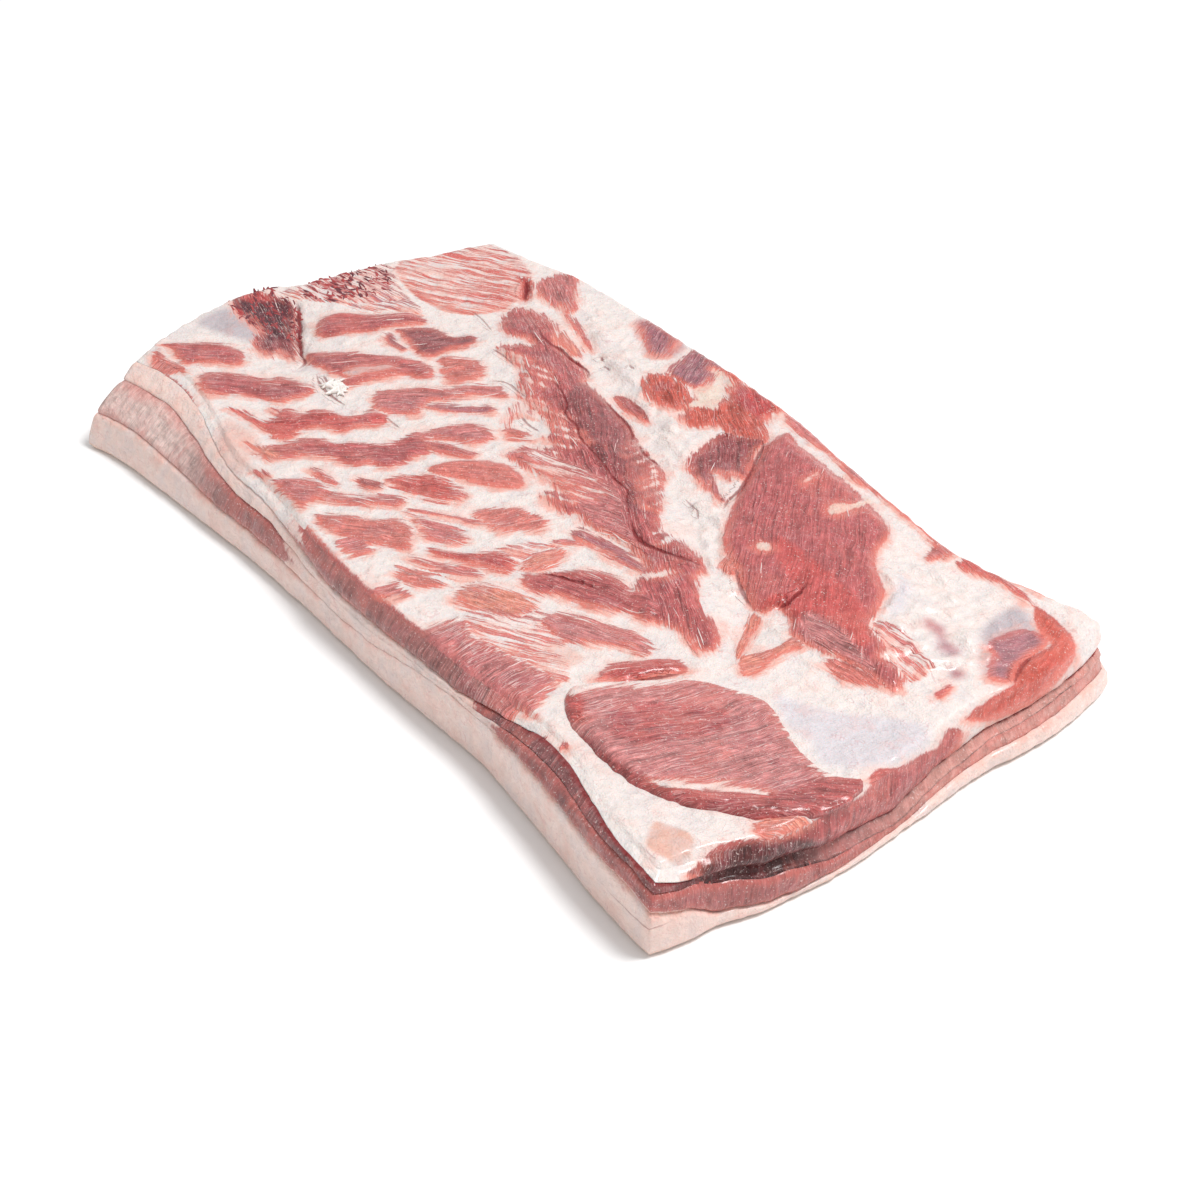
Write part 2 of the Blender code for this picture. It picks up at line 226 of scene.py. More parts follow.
def outward(loop, spread=5):
    """Unit vectors square to a closed loop in plan, pointing out of it."""
    ahead = np.roll(loop, -1, axis=0) - np.roll(loop, 1, axis=0)
    ahead = sum(np.roll(ahead, k, axis=0) for k in range(-spread, spread + 1))
    normal = np.column_stack([ahead[:, 1], -ahead[:, 0]])
    return normal / np.linalg.norm(normal, axis=1, keepdims=True)


# ---------------------------------------------------------------- noise
def lattice(seed, cells=64):
    """Random unit vectors on a lattice that repeats."""
    draws = np.random.default_rng(seed).normal(size=(cells, cells, cells // 4, 3))
    return draws / np.linalg.norm(draws, axis=-1, keepdims=True)


LATTICES = {}


def noise(places, size, seed=1):
    """Smooth noise between about -1 and 1, with hills of a given size."""
    if seed not in LATTICES:
        LATTICES[seed] = lattice(seed)
    table = LATTICES[seed]
    where = np.asarray(places, float) / size
    if where.shape[-1] == 2:
        where = np.column_stack([where, np.full(len(where), 0.37)])
    cell = np.floor(where).astype(int)
    part = where - cell
    fade = part ** 3 * (part * (part * 6 - 15) + 10)
    total = np.zeros(len(where))
    for corner in np.ndindex(2, 2, 2):
        corner = np.array(corner)
        index = (cell + corner) % table.shape[:3]
        slope = table[index[:, 0], index[:, 1], index[:, 2]]
        weight = np.prod(np.where(corner == 1, fade, 1 - fade), axis=1)
        total += weight * ((part - corner) * slope).sum(axis=1)
    return total * 1.6


# ---------------------------------------------------------------- lean and fat outlines
# Colours as they look, 0 to 255, with what each is.
TINTS = {
    "lean": ((190, 94, 94), "lean of the ribs and the long muscle"),
    "red": ((202, 86, 82), "redder lean"),
    "bright": ((198, 66, 64), "blood-red lean"),
    "dark": ((158, 78, 80), "dark lean"),
    "rose": ((206, 120, 118), "pale lean"),
    "salmon": ((216, 122, 112), "salmon lean"),
    "orange": ((232, 146, 126), "thin lean over fat"),
    "purple": ((164, 102, 112), "purple lean"),
    "violet": ((180, 118, 126), "lean under a membrane"),
    "brown": ((168, 108, 104), "lean of the left side"),
    # The lean in the deep gap at the near end: dark lean painted almost black as its shade.
    "crevice": ((92, 38, 38), "lean deep in the near crevice"),
    "column": ((136, 80, 80), "dark lean beside the near block of fat"),
    "shelf": ((206, 148, 138), "pale lean under the far corner"),
    "rust": ((206, 88, 72), "rust-red edge of the far corner"),
    "muscle": ((208, 130, 128), "near muscle"),
    "cut": ((184, 88, 86), "cut edge of the near muscle"),
    "pale": ((232, 202, 194), "lean at the left end corner"),
    "flap": ((172, 94, 90), "lean flap of the near end"),
    "rindfat": ((241, 213, 203), "back fat"),
    "rind": ((226, 190, 170), "skin"),
    "torn": ((98, 40, 50), "torn lean"),
    "shred": ((172, 66, 66), "paler torn lean"),
    "bone": ((246, 238, 232), "loose white fascia"),
    # Also the colour of the tiny glints painted as highlights on the lean.
    "strand": ((238, 214, 208), "fascia strands"),
    "rim": ((224, 122, 108), "orange-red rim of the lean"),
    "shade": ((142, 66, 74), "purple rim of the lean"),
    "stain": ((232, 160, 144), "flush in the fat"),
    "vein": ((190, 118, 122), "veins in the fat"),
    # Dark red of the creases: partly their own colour, partly painted shade in them.
    "fold": ((128, 18, 22), "folds and cracks"),
    "white": ((235, 223, 218), "white fat"),
    "cream": ((230, 210, 196), "cream fat"),
    "blue": ((218, 210, 214), "bluish membrane"),
    "pink": ((230, 196, 186), "pink fat"),
    "tan": ((224, 178, 162), "tan patch"),
    "grey": ((190, 178, 182), "grey membrane"),
    # Grey patches laid at random over the fat, standing for its bluish-grey shade: painted shade.
    "cloud": ((210, 200, 203), "thin grey fat"),
}


def linear(colour):
    """A colour as it looks, 0 to 255, as linear light."""
    c = np.array(colour, float) / 255
    return np.where(c <= 0.04045, c / 12.92, ((c + 0.055) / 1.055) ** 2.4)


def tint(name):
    return np.array(getattr(bpy.context.scene.belly_colours, name))


def rgba(name):
    return (*tint(name), 1.0)


def sizes():
    return bpy.context.scene.belly_sizes


LEAN, FAT, VEIL, MIX, PATCH = "lean", "fat", "veil", "mix", "patch"


def slips(start, end, count, reach, width):
    """Tapered slips of fat that cut into the lean from places along a line."""
    start, end, reach = np.array(start), np.array(end), np.array(reach)
    aside = np.array((-reach[1], reach[0])) / np.linalg.norm(reach)
    rows = []
    for k in range(count):
        base = start + (end - start) * (k + 0.5 + 0.3 * math.sin(5.1 * k)) / count
        way = reach * (0.75 + 0.35 * math.sin(7.3 * k)) + aside * 0.25 * math.sin(3.7 * k)
        half = aside * width / 2 * (0.8 + 0.3 * math.sin(2.9 * k))
        rows.append((FAT, "white", 0, 1.0, 0.0,
                     [base - half, base + 0.55 * way - 0.6 * half, base + way,
                      base + 0.55 * way + 0.6 * half, base + half]))
    return rows


# kind, tint, fibre angle in degrees, streak in millimetres, lift in millimetres, outline
REGIONS = [
    # frayed far end
    (MIX, "purple", 20, 4.5, 0.5,
     [(-289, 79), (-276, 75), (-258, 73), (-242, 70), (-220, 67), (-218, 60), (-230, 54),
      (-240, 40), (-250, 35), (-264, 30), (-278, 16), (-292, 10), (-294, 26), (-290, 50)]),
    (MIX, "red", 30, 2.6, 0.0,
     [(-264, 146), (-236, 152), (-210, 144), (-196, 124), (-189, 106), (-196, 86), (-216, 74),
      (-245, 74), (-274, 84), (-280, 106), (-272, 128)]),
    (MIX, "purple", 8, 4.5, 0.0,
     [(-292, 22), (-294, 47), (-289, 78), (-276, 82), (-256, 74), (-240, 66), (-246, 50),
      (-260, 32), (-274, 19)]),
    (LEAN, "torn", -15, 2.5, -1.0,
     [(-308, -3), (-296, 4), (-280, 8), (-268, 5), (-258, -1), (-246, -10), (-232, -17),
      (-223, -24), (-226, -29), (-234, -30), (-236, -37), (-248, -38), (-256, -33), (-260, -26),
      (-276, -24), (-288, -24), (-296, -22), (-304, -16)]),
    (LEAN, "dark", -20, 1.5, -0.5,
     [(-246, -22), (-236, -19), (-225, -25), (-234, -29), (-237, -36), (-250, -37), (-252, -32),
      (-242, -29)]),
    (LEAN, "red", -20, 1.5, 0.0,
     [(-312, -2), (-300, 2), (-290, 1), (-294, -6), (-300, -10), (-310, -8)]),
    (VEIL, "grey", 20, 1.0, 0.0,
     [(-298, -24), (-282, -22), (-262, -22), (-252, -32), (-262, -40), (-276, -46), (-294, -50),
      (-300, -38)]),
    # rib fingers, lower row
    (LEAN, "lean", 50, 1.0, 1.8,
     [(-287, -79), (-283, -72), (-275, -62), (-266, -52), (-256, -47), (-246, -46.5), (-238, -52),
      (-239, -58), (-247, -65), (-255, -73), (-258, -80), (-268, -79), (-279, -77)]),
    (LEAN, "salmon", 20, 1.6, 0.6,
     [(-283, -83), (-270, -85), (-262, -83), (-253, -81), (-252, -90), (-260, -97.5), (-270, -94),
      (-278, -90)]),
    (LEAN, "lean", 48, 1.4, 1.8,
     [(-242, -77), (-236, -66), (-225, -58), (-213, -52), (-211, -44), (-200, -39), (-189, -34),
      (-183.5, -41), (-185, -52), (-187, -61), (-200, -67), (-210, -74), (-218, -84), (-227, -87),
      (-236, -84)]),
    (LEAN, "red", 12, 1.8, 0.4,
     [(-202, -86), (-190, -79.5), (-178, -78), (-176, -69), (-186, -66), (-172, -63), (-162, -74),
      (-162, -82), (-180, -83)]),
    (LEAN, "red", 55, 1.6, 1.4,
     [(-180, -60), (-170, -56), (-168, -48), (-162, -42), (-150, -36), (-147, -25), (-143, -20),
      (-133, -21), (-131, -29), (-137, -39), (-139, -50), (-149, -55), (-155, -66), (-152, -75),
      (-159, -82), (-173, -78), (-176, -69)]),
    (LEAN, "lean", 48, 2.0, 1.4,
     [(-153, -88), (-149, -76), (-143, -64), (-132, -58), (-127, -49), (-118, -41), (-112, -30),
      (-112, -16), (-102, -17), (-91, -22), (-92, -32), (-90, -42), (-94, -52), (-103, -55),
      (-106, -63), (-118, -68), (-124, -72), (-132, -80), (-137, -89), (-146, -99), (-153, -95)]),
    (LEAN, "orange", 10, 1.6, 0.2,
     [(-166, -97), (-154, -93), (-142, -91), (-139, -96), (-152, -98)]),
    (LEAN, "rose", 0, 1.6, 0.2,
     [(-138, -108), (-130, -104), (-128, -108), (-134, -110)]),
    (VEIL, "pink", 30, 1.0, 0.0,
     [(-192, -90), (-165, -88), (-150, -100), (-136, -115), (-146, -121), (-170, -116),
      (-188, -104)]),
    (LEAN, "rose", 55, 1.4, 1.2,
     [(-109, -15), (-106, 2), (-99, 14), (-89, 18), (-81, 16), (-79, 6), (-86, -2), (-93, -7),
      (-100, -13), (-103, -19)]),
    (LEAN, "lean", 30, 1.2, 0.4,
     [(-102, -19.5), (-94, -11), (-82, -6.5), (-73, -3), (-71, -9), (-82, -16), (-93, -21)]),
    (LEAN, "salmon", 45, 0.5, 2.2,
     [(-79, -30), (-74, -15), (-66, -5), (-56, 2), (-44, 4), (-33, 0.5), (-31, -6), (-37, -13),
      (-46, -19), (-56, -24), (-64, -28), (-71, -33)]),
    (LEAN, "red", 35, 3.0, 0.6,
     [(-84, -57), (-79, -42), (-70, -32), (-58, -32), (-46, -31), (-42, -38), (-49, -48),
      (-58, -52), (-70, -57)]),
    (LEAN, "dark", 25, 1.5, 0.3,
     [(-96, -69), (-86, -62), (-78, -64), (-82, -70), (-89, -72)]),
    (LEAN, "rose", 40, 2.0, 1.0,
     [(-121, -107), (-116, -94), (-108, -88), (-94, -87), (-82, -79), (-76, -72), (-69, -63),
      (-61, -60), (-59, -68), (-66, -75), (-73, -84), (-84, -93), (-93, -99), (-90, -109),
      (-103, -109)]),
    (LEAN, "rose", 20, 1.5, 0.4,
     [(-120, -84), (-109, -80), (-98, -80), (-99, -84), (-110, -85)]),
    (LEAN, "salmon", 40, 1.8, 1.0,
     [(-79, -107), (-70, -96), (-58, -86), (-50, -76), (-40, -73), (-32, -76), (-23, -86),
      (-26, -90), (-34, -94), (-42, -102), (-52, -106), (-65, -108.5)]),
    (LEAN, "rose", 35, 1.4, 0.4,
     [(-51, -65), (-38, -56), (-29, -50), (-22, -48), (-15, -42), (-18, -39), (-26, -45),
      (-38, -52), (-50, -61)]),
    (LEAN, "salmon", 70, 2.0, 0.6,
     [(-27, -39), (-24, -26), (-15, -16), (-6, -16), (2, -12), (8, -20), (2, -28), (-4, -38),
      (-12, -40)]),
    (LEAN, "rose", 70, 2.4, 0.4,
     [(-50, -102), (-34, -101), (-35, -112), (-46, -114), (-52, -110)]),
    (LEAN, "rose", 35, 3.0, 0.4,
     [(-52, -66), (-34, -60), (-16, -54), (-8, -62), (-22, -72), (-40, -69)]),
    (LEAN, "red", 35, 1.6, 1.2,
     [(-16, -77), (-6, -69), (0, -63), (6, -54), (12, -47), (23, -45), (25, -52), (29, -57),
      (22, -63), (12, -68), (2, -73), (-8, -79)]),
    (LEAN, "rose", 35, 2.6, 0.5,
     [(-16, -88), (-6, -83), (6, -77), (18, -70), (22, -74), (12, -82), (2, -86), (-10, -91)]),
    (LEAN, "salmon", 30, 3.0, 0.5,
     [(-12, -99), (2, -91), (14, -89), (12, -99), (2, -104), (-9, -104)]),
    (LEAN, "rose", 80, 2.2, 0.2,
     [(-4, -126), (-3, -109), (2, -109), (10, -110), (8, -117), (2, -124)]),
    (LEAN, "orange", 80, 1.6, 0.6,
     [(23, -32), (28, -21), (34, -26), (39, -34), (37, -44), (29, -50), (23, -42)]),
    (MIX, "rose", 35, 3.4, 0.3,
     [(8, -47), (10, -36), (18, -26), (24, -12), (34, -9), (26, -22), (22, -34), (22, -46)]),
    (LEAN, "orange", 25, 3.4, 0.6,
     [(28, -73), (45, -64), (60, -63), (63, -74), (58, -87), (42, -93), (28, -93), (24, -84)]),
    (MIX, "rose", 28, 3.8, 0.4,
     [(44, -100), (45, -89), (61, -79), (63, -66), (74, -64), (92, -73), (114, -84), (116, -94),
      (86, -102), (60, -104)]),
    (LEAN, "muscle", 25, 2.8, 0.8,
     [(70, -70), (73, -59), (85, -51), (98, -45), (110, -38), (122, -39), (127, -46), (113, -53),
      (102, -63), (92, -72), (80, -72)]),
    (LEAN, "rose", 88, 3.0, 0.8,
     [(42, -142), (41, -116), (46, -101), (60, -104), (85, -99), (113, -94), (119, -104),
      (126, -115), (131, -121), (122, -123), (126, -133), (115, -140), (80, -142)]),
    (FAT, "pink", 0, 2.0, 0.0,
     [(92, -76), (102, -73), (110, -76), (106, -83), (94, -83)]),
    (LEAN, "red", 60, 1.2, 2.4,
     [(125, -76), (123, -70), (123, -62), (129, -52), (135, -42), (141, -37), (148, -37),
      (150, -42), (145, -54), (142, -64), (134, -73), (129, -78)]),
    # rib fingers, upper row
    (LEAN, "lean", 55, 0.9, 1.6,
     [(-250, 12), (-249, 26), (-236, 38), (-229, 49), (-222, 59), (-206, 60), (-210, 50),
      (-216, 39), (-219, 27), (-226, 16), (-229, 7), (-233, 0), (-243, 3)]),
    (LEAN, "dark", 60, 0.8, 1.0,
     [(-204, 54), (-196, 60), (-183, 62), (-178, 72), (-171, 71), (-168.5, 62), (-172, 50),
      (-172, 39), (-182, 34), (-193, 37), (-203, 39), (-212, 40), (-209, 47)]),
    (LEAN, "purple", 10, 1.0, 0.3,
     [(-210, 35), (-200, 33), (-190, 33), (-190, 29), (-202, 27.5), (-210, 31)]),
    (LEAN, "lean", 57, 1.2, 1.8,
     [(-222, -16), (-215, -6), (-206, 6), (-194, 16), (-186, 23), (-166, 32), (-156, 28),
      (-157, 20), (-166, 13), (-170, 4), (-174, -6), (-176, -19), (-181, -20), (-186, -14),
      (-196, -18), (-204, -20), (-213, -22)]),
    (FAT, "grey", 57, 0.8, -0.3,
     [(-193, -12), (-189, 0), (-181, 13), (-177, 12), (-183, 1), (-185, -11)]),
    (LEAN, "rose", 50, 1.6, 1.2,
     [(-160, -10), (-154, 6), (-148, 16), (-138, 26), (-134, 36), (-126, 46), (-118, 49.5),
      (-110, 46), (-118, 38), (-124, 30), (-128, 19), (-134, 10), (-130, 2), (-126, -4),
      (-132, -12), (-142, -18), (-152, -18)]),
    (LEAN, "salmon", 50, 1.8, 0.8,
     [(-169, 43), (-156, 55), (-146, 57), (-137, 49), (-137, 40), (-142, 30), (-152, 31),
      (-161, 37)]),
    (LEAN, "purple", 50, 1.4, 0.6,
     [(-132, 4), (-126, 13), (-114, 24), (-108, 33), (-102, 32), (-104, 24), (-112, 16),
      (-121, 7)]),
    # long muscle with its tongue
    (LEAN, "lean", -28, 1.6, 2.2,
     [(-186, 112), (-179, 118), (-168, 120), (-155, 119), (-144, 112), (-132, 104), (-115, 102),
      (-104, 101), (-96, 96), (-92, 91), (-80, 90), (-73, 89), (-62, 86.5), (-50, 83.5),
      (-40, 82), (-30, 77.5), (-22, 74.5), (-13, 70), (2, 69.5), (12, 64), (20, 54), (30, 47),
      (40, 36), (52, 30), (66, 32), (82, 29.5), (92, 24), (94, 16), (105, 8), (115, 1), (130, -2),
      (140, -8), (146, -18), (142, -24), (126, -21), (112, -24), (104, -29), (90, -22), (80, -17),
      (73, -3), (65, 3), (46, 5), (30, 1.5), (18, 1), (8, 3), (4, -1), (-10, -1.5), (-19, 1),
      (-18, 7), (-12, 10), (-26, 10.5), (-40, 10), (-52, 9), (-61, 11), (-58, 22), (-52, 30),
      (-53, 36), (-62, 37), (-63, 44), (-76, 49), (-86, 51), (-94, 50), (-106, 53), (-116, 61),
      (-124, 68), (-132, 72), (-146, 73), (-156, 76), (-152, 86), (-145, 94), (-156, 94),
      (-166, 90), (-176, 93), (-183, 102)]),
    (LEAN, "dark", -35, 0.8, 0.6,
     [(-92, 90), (-72, 89), (-44, 82), (-22, 74), (2, 69), (20, 52), (36, 40), (22, 32), (8, 44),
      (-20, 50), (-40, 54), (-60, 62), (-82, 70)]),
    (LEAN, "rose", 14, 2.0, 0.0,
     [(-62, 22), (-40, 30), (-10, 36), (10, 32), (26, 20), (50, 10), (30, 4), (0, 10), (-30, 12),
      (-56, 12)]),
    (MIX, "rose", -30, 2.6, 0.0,
     [(-100, 49), (-97, 34), (-86, 24), (-82, 26), (-86, 38), (-76, 46)]),
    (LEAN, "salmon", 40, 1.4, 0.4,
     [(-83, 23), (-80, 30), (-70, 32), (-64, 30), (-73, 21)]),
    (LEAN, "purple", 12, 1.8, 0.5,
     [(20, -2), (24, 1), (42, 3), (62, 2), (74, -3), (60, -7), (43, -8), (30, -12), (22, -11)]),
    (FAT, "white", 12, 0.8, -0.2,
     [(12, 0), (24, 2), (40, 6.5), (49, 7.5), (47, 5), (34, 1.5), (22, -2)]),
    (FAT, "white", 30, 1.0, -0.3,
     [(36, -13), (50, -11), (60, -7), (72, -3.5), (76, 1), (79, 9), (83, 10), (81, 2), (77, -5),
      (72, -12), (84, -15), (70, -16.5), (56, -18), (46, -24), (36, -24)]),
    (LEAN, "lean", 20, 1.6, 1.6,
     [(39, -46), (47, -32), (56, -21), (68, -16), (82, -17), (95, -14), (106, -22), (106, -29),
      (95, -31), (87, -38), (76, -45), (60, -50), (50, -58), (40, -58), (34, -51)]),
    (LEAN, "orange", -20, 1.4, 0.3,
     [(-147, 118), (-132, 114.5), (-122, 113), (-117, 109), (-122, 104.5), (-134, 106),
      (-143, 109)]),
    (LEAN, "rose", -30, 2.2, 0.8,
     [(-201, 162), (-192, 166), (-184, 159), (-174, 151), (-166, 144), (-160, 137), (-162, 132),
      (-170, 134), (-182, 131), (-192, 133), (-200, 140), (-204, 148), (-201, 154)]),
    (LEAN, "bright", -38, 1.0, 0.0,
     [(-217, 136), (-208, 140), (-199, 135), (-190, 127), (-188, 120), (-197, 123), (-206, 131)]),
    (LEAN, "rose", -22, 1.0, 0.3,
     [(-162, 133), (-150, 131), (-134, 125), (-122, 120), (-116, 117), (-126, 118), (-142, 124),
      (-156, 129)]),
    # far strip
    (VEIL, "violet", -60, 1.0, 0.0,
     [(-129, 163), (-116, 170), (-96, 169), (-86, 164), (-81, 150), (-85, 142), (-92, 138),
      (-104, 145), (-114, 149), (-125, 155)]),
    (LEAN, "purple", -60, 1.5, 0.6,
     [(-125, 161), (-116, 168), (-100, 167), (-93, 163), (-89, 156), (-84, 150), (-87, 144),
      (-93, 141), (-104, 147), (-114, 151), (-122, 156)]),
    (LEAN, "purple", -60, 1.5, 0.8,
     [(-80, 166), (-66, 169), (-52, 168), (-56, 159), (-50, 154), (-46, 146), (-46, 139),
      (-56, 135), (-68, 135), (-75, 143), (-77, 153)]),
    (LEAN, "rust", -30, 1.8, 1.2,
     [(-77, 126), (-68, 134), (-55, 136), (-42, 131), (-34, 130), (-26, 134), (-29, 146),
      (-36, 152), (-45, 158), (-54, 163), (-42, 169), (-32, 163), (-20, 170), (-6, 169), (6, 164),
      (1, 154), (6, 146), (16, 138), (21, 131), (12, 126), (2, 121), (-10, 120), (-14, 112),
      (-20, 108), (-29, 110), (-34, 116), (-42, 111), (-58, 109), (-68, 115)]),
    (LEAN, "bright", -30, 1.2, 0.3,
     [(-30, 157), (-15, 161), (0, 155), (3, 148), (-12, 148), (-24, 149)]),
    (FAT, "cream", -30, 2.0, 0.2,
     [(-47, 139), (-39, 150), (-32, 147), (-28, 139), (-23, 132), (-30, 129), (-39, 134)]),
    (FAT, "cream", 0, 1.0, 0.2,
     [(-51, 162), (-42, 160), (-35, 156), (-43, 153), (-53, 159)]),
    (FAT, "cream", 0, 1.2, 0.2,
     [(-36, 132), (-31, 129), (-33, 120), (-38, 124)]),
    (LEAN, "dark", -40, 1.2, -0.6,
     [(0, 120), (10, 125), (19, 131), (24, 123), (30, 114), (38, 105), (42, 97), (34, 94),
      (37, 89), (26, 89), (29, 84), (38, 79), (38, 74), (24, 76), (10, 81), (5, 88), (3, 96),
      (0, 106)]),
    (LEAN, "purple", -30, 1.0, -0.2,
     [(25, 87), (34, 82), (44, 78), (51, 75), (50, 72), (40, 74), (28, 79)]),
    (LEAN, "dark", -15, 0.8, 0.2,
     [(-70, 95), (-66, 100), (-53, 100), (-42, 97), (-35, 93), (-42, 91), (-54, 89), (-64, 91)]),
    (LEAN, "rose", -10, 1.2, 0.8,
     [(2, 164), (20, 163), (40, 162), (54, 160), (65, 156), (80, 153), (96, 151), (110, 149),
      (124, 146), (135, 143), (150, 141), (164, 138), (163, 128), (160, 122), (155, 125),
      (153, 133), (140, 137.5), (126, 139.5), (110, 142), (94, 144), (78, 143), (66, 147),
      (52, 150), (34, 151), (24, 151), (12, 155)]),
    (LEAN, "red", -5, 1.6, 0.4,
     [(170, 139), (180, 141), (190, 141), (208, 140), (220, 137), (228, 135), (210, 136),
      (194, 136), (184, 132), (174, 130)]),
    (LEAN, "salmon", 8, 1.2, 0.2,
     [(172, 144), (190, 147), (208, 149), (222, 149), (216, 145), (196, 142)]),
    # big red muscle
    (LEAN, "lean", -48, 0.55, 3.0,
     [(21, 147), (35, 143.5), (50, 142.5), (70, 139.5), (90, 137), (98, 133.5), (104, 133),
      (120, 129), (130, 122), (134, 112), (139, 104), (146, 97), (156, 90), (165, 85), (171, 76),
      (177, 66), (186, 58), (198, 54), (208, 46), (217, 46), (227, 36), (227, 30), (215, 29),
      (206, 29), (198, 27), (186, 26), (173, 22), (162, 21), (154, 28), (146, 31), (141, 31),
      (139, 23), (133, 21), (122, 26), (110, 32), (100, 38), (92, 40), (82, 46), (73, 54),
      (64, 64), (58, 73), (50, 84), (44, 95), (36, 108), (29, 120), (23, 130)]),
    (LEAN, "red", -48, 0.3, 0.2,
     [(96, 74), (130, 72), (160, 68), (176, 59), (190, 46), (170, 34), (146, 36), (130, 54),
      (110, 62)]),
    (LEAN, "muscle", 10, 1.6, 0.0,
     [(155, 41), (175, 43), (190, 39), (208, 34), (196, 28), (175, 26), (160, 32)]),
    (LEAN, "salmon", 5, 1.2, 0.6,
     [(188, 23), (192, 17.5), (202, 15), (208, 18), (214, 22), (220, 27), (210, 30), (196, 29)]),
    (MIX, "rose", 0, 3.0, 0.3,
     [(179, 62), (190, 70), (204, 68), (216, 63), (226, 60), (229, 49), (226, 42), (212, 46),
      (196, 53), (184, 58)]),
    (FAT, "cream", 75, 0.8, 0.3,
     [(98, 136), (95.5, 126), (90, 120), (91, 114), (97, 111), (99, 120), (101, 130)]),
    (FAT, "cream", 0, 0.8, 0.5,
     [(91, 63), (95, 66.5), (99, 64), (98, 60), (93, 59)]),
    (FAT, "pink", 75, 0.6, 0.1, [(61, 132), (63.5, 132), (65, 122), (63, 121)]),
    (FAT, "white", 0, 1.2, 0.1, [(201, 50), (207, 53), (208, 47), (204, 44)]),
    (LEAN, "orange", -60, 0.8, 0.3,
     [(90, 41), (99, 39), (105, 34), (98, 31), (92, 35)]),
    (LEAN, "bright", -60, 0.8, 0.2,
     [(133, 42), (139, 40), (140, 29), (137, 22), (132, 24)]),
    (LEAN, "orange", -60, 1.0, 0.4,
     [(136, 20), (143, 19), (147, 12), (150, 4), (154, -2), (160, -12), (154, -10), (149, -3),
      (143, 6), (139, 13)]),
    (LEAN, "orange", 80, 1.0, 0.5,
     [(163, 21), (173, 20), (171, 8), (172, -4), (175, -12), (171, -19), (164, -16), (159, -9),
      (162, 2), (164, 12)]),
    # membrane and right corner
    (LEAN, "bright", 80, 0.4, -0.6, [(241, 56), (245, 52), (246, 44), (242, 44)]),
    (VEIL, "blue", 30, 1.0, 0.0,
     [(190, -16), (205, -10), (225, 2), (240, 16), (254, 24), (266, 18), (270, 0), (264, -16),
      (256, -28), (244, -36), (228, -30), (210, -29)]),
    (VEIL, "blue", 30, 1.0, 0.0,
     [(158, 102), (170, 100), (182, 84), (184, 72), (176, 76), (166, 90)]),
    (VEIL, "grey", 70, 1.0, 0.0,
     [(216, 130), (230, 129), (240, 122), (250, 120), (251, 104), (253, 92), (260, 81), (256, 74),
      (248, 72), (241, 77), (232, 85), (226, 92), (219, 98), (215, 112)]),
    (LEAN, "violet", 70, 0.5, 0.3,
     [(232, 116), (244, 121), (250, 116), (251, 104), (253, 92), (259, 82), (255, 76), (248, 75),
      (238, 88), (229, 96)]),
    # These two soft veils paint the grey-blue shade among the lumps of fat here in violet and
    # purple: painted shade.
    (VEIL, "violet", 40, 2.2, 0.0,
     [(194, 86), (206, 88), (214, 82), (226, 80), (227, 73), (218, 70), (208, 78), (198, 79)]),
    (VEIL, "purple", 60, 1.6, 0.0,
     [(233, 68), (240, 69), (242, 63), (238, 59), (232, 63)]),
    (LEAN, "rust", -70, 0.15, 1.0,
     [(223, 136), (234, 136.5), (246, 134), (256, 130), (264, 122), (269, 112), (273, 100),
      (276, 88), (277, 75), (276, 62), (273, 50), (266, 42), (263, 46), (262, 58), (261, 70),
      (261, 80), (256, 84), (251, 94), (251, 106), (251, 116), (249, 120), (241, 121),
      (233, 126)]),
    # near end, below the rim
    (LEAN, "cut", 90, 0.6, 0.0,
     [(265, 32), (270, 35), (276, 28), (282, 17), (289, 4), (295, -16), (299, -40), (302, -65),
      (298, -84), (290, -102), (285, -118), (273, -136), (264, -136), (260, -123), (258, -110),
      (262, -99), (268, -90), (272, -79), (272, -64), (273, -50), (274, -38), (271, -28),
      (266, -24), (265, -16), (271, -6), (270, 6), (271, 16), (267, 26)]),
    # Painted shade: the deep gap under the rim at the near end, dark lean painted almost black.
    (LEAN, "crevice", 90, 1.0, 0.0,
     [(262, -135), (261, -124), (261, -110), (264, -101), (271, -89), (281, -79), (288, -73),
      (293, -60), (296, -46), (299, -48), (297, -66), (293, -84), (287, -102), (280, -120),
      (271, -134)]),
    (LEAN, "orange", 60, 2.0, 0.6,
     [(261, -92), (256, -87), (256, -80), (261, -74), (268, -67), (273, -68), (272, -79),
      (268, -90)]),
    # near corner fat
    (PATCH, "tan", 30, 1.0, 0.0,
     [(229, -130), (226, -123), (232, -120), (241, -116), (248, -118), (253, -124), (257, -134),
      (249, -136), (237, -138)]),
    (LEAN, "rose", -30, 0.8, 0.0, [(155, -121), (158, -120), (159, -124), (156, -125)]),
    # lines of lean in the left side
    (LEAN, "rose", -12, 0.8, 0.2,
     [(-256, -93), (-240, -93.5), (-224, -95.5), (-217, -99), (-226, -102), (-242, -99),
      (-254, -96)]),
    (LEAN, "rose", -28, 0.6, 0.0,
     [(-209, -104), (-195, -110), (-184, -115), (-175, -121), (-182, -120), (-192, -115),
      (-204, -109)]),
    (LEAN, "rose", -12, 0.8, 0.0,
     [(-174, -119), (-155, -119), (-140, -122), (-131, -128), (-145, -126), (-162, -123)]),
    (LEAN, "brown", -80, 1.2, 0.0,
     [(-106, -125), (-92, -126), (-80, -126), (-60, -128), (-46, -129), (-39, -126), (-12, -126),
      (2, -132), (12, -127), (32, -122), (45, -124), (47, -140), (20, -141.5), (3, -140),
      (-15, -141.5), (-38, -140), (-50, -139), (-70, -135), (-94, -133), (-104, -129)]),
    (LEAN, "brown", -70, 1.2, 0.0,
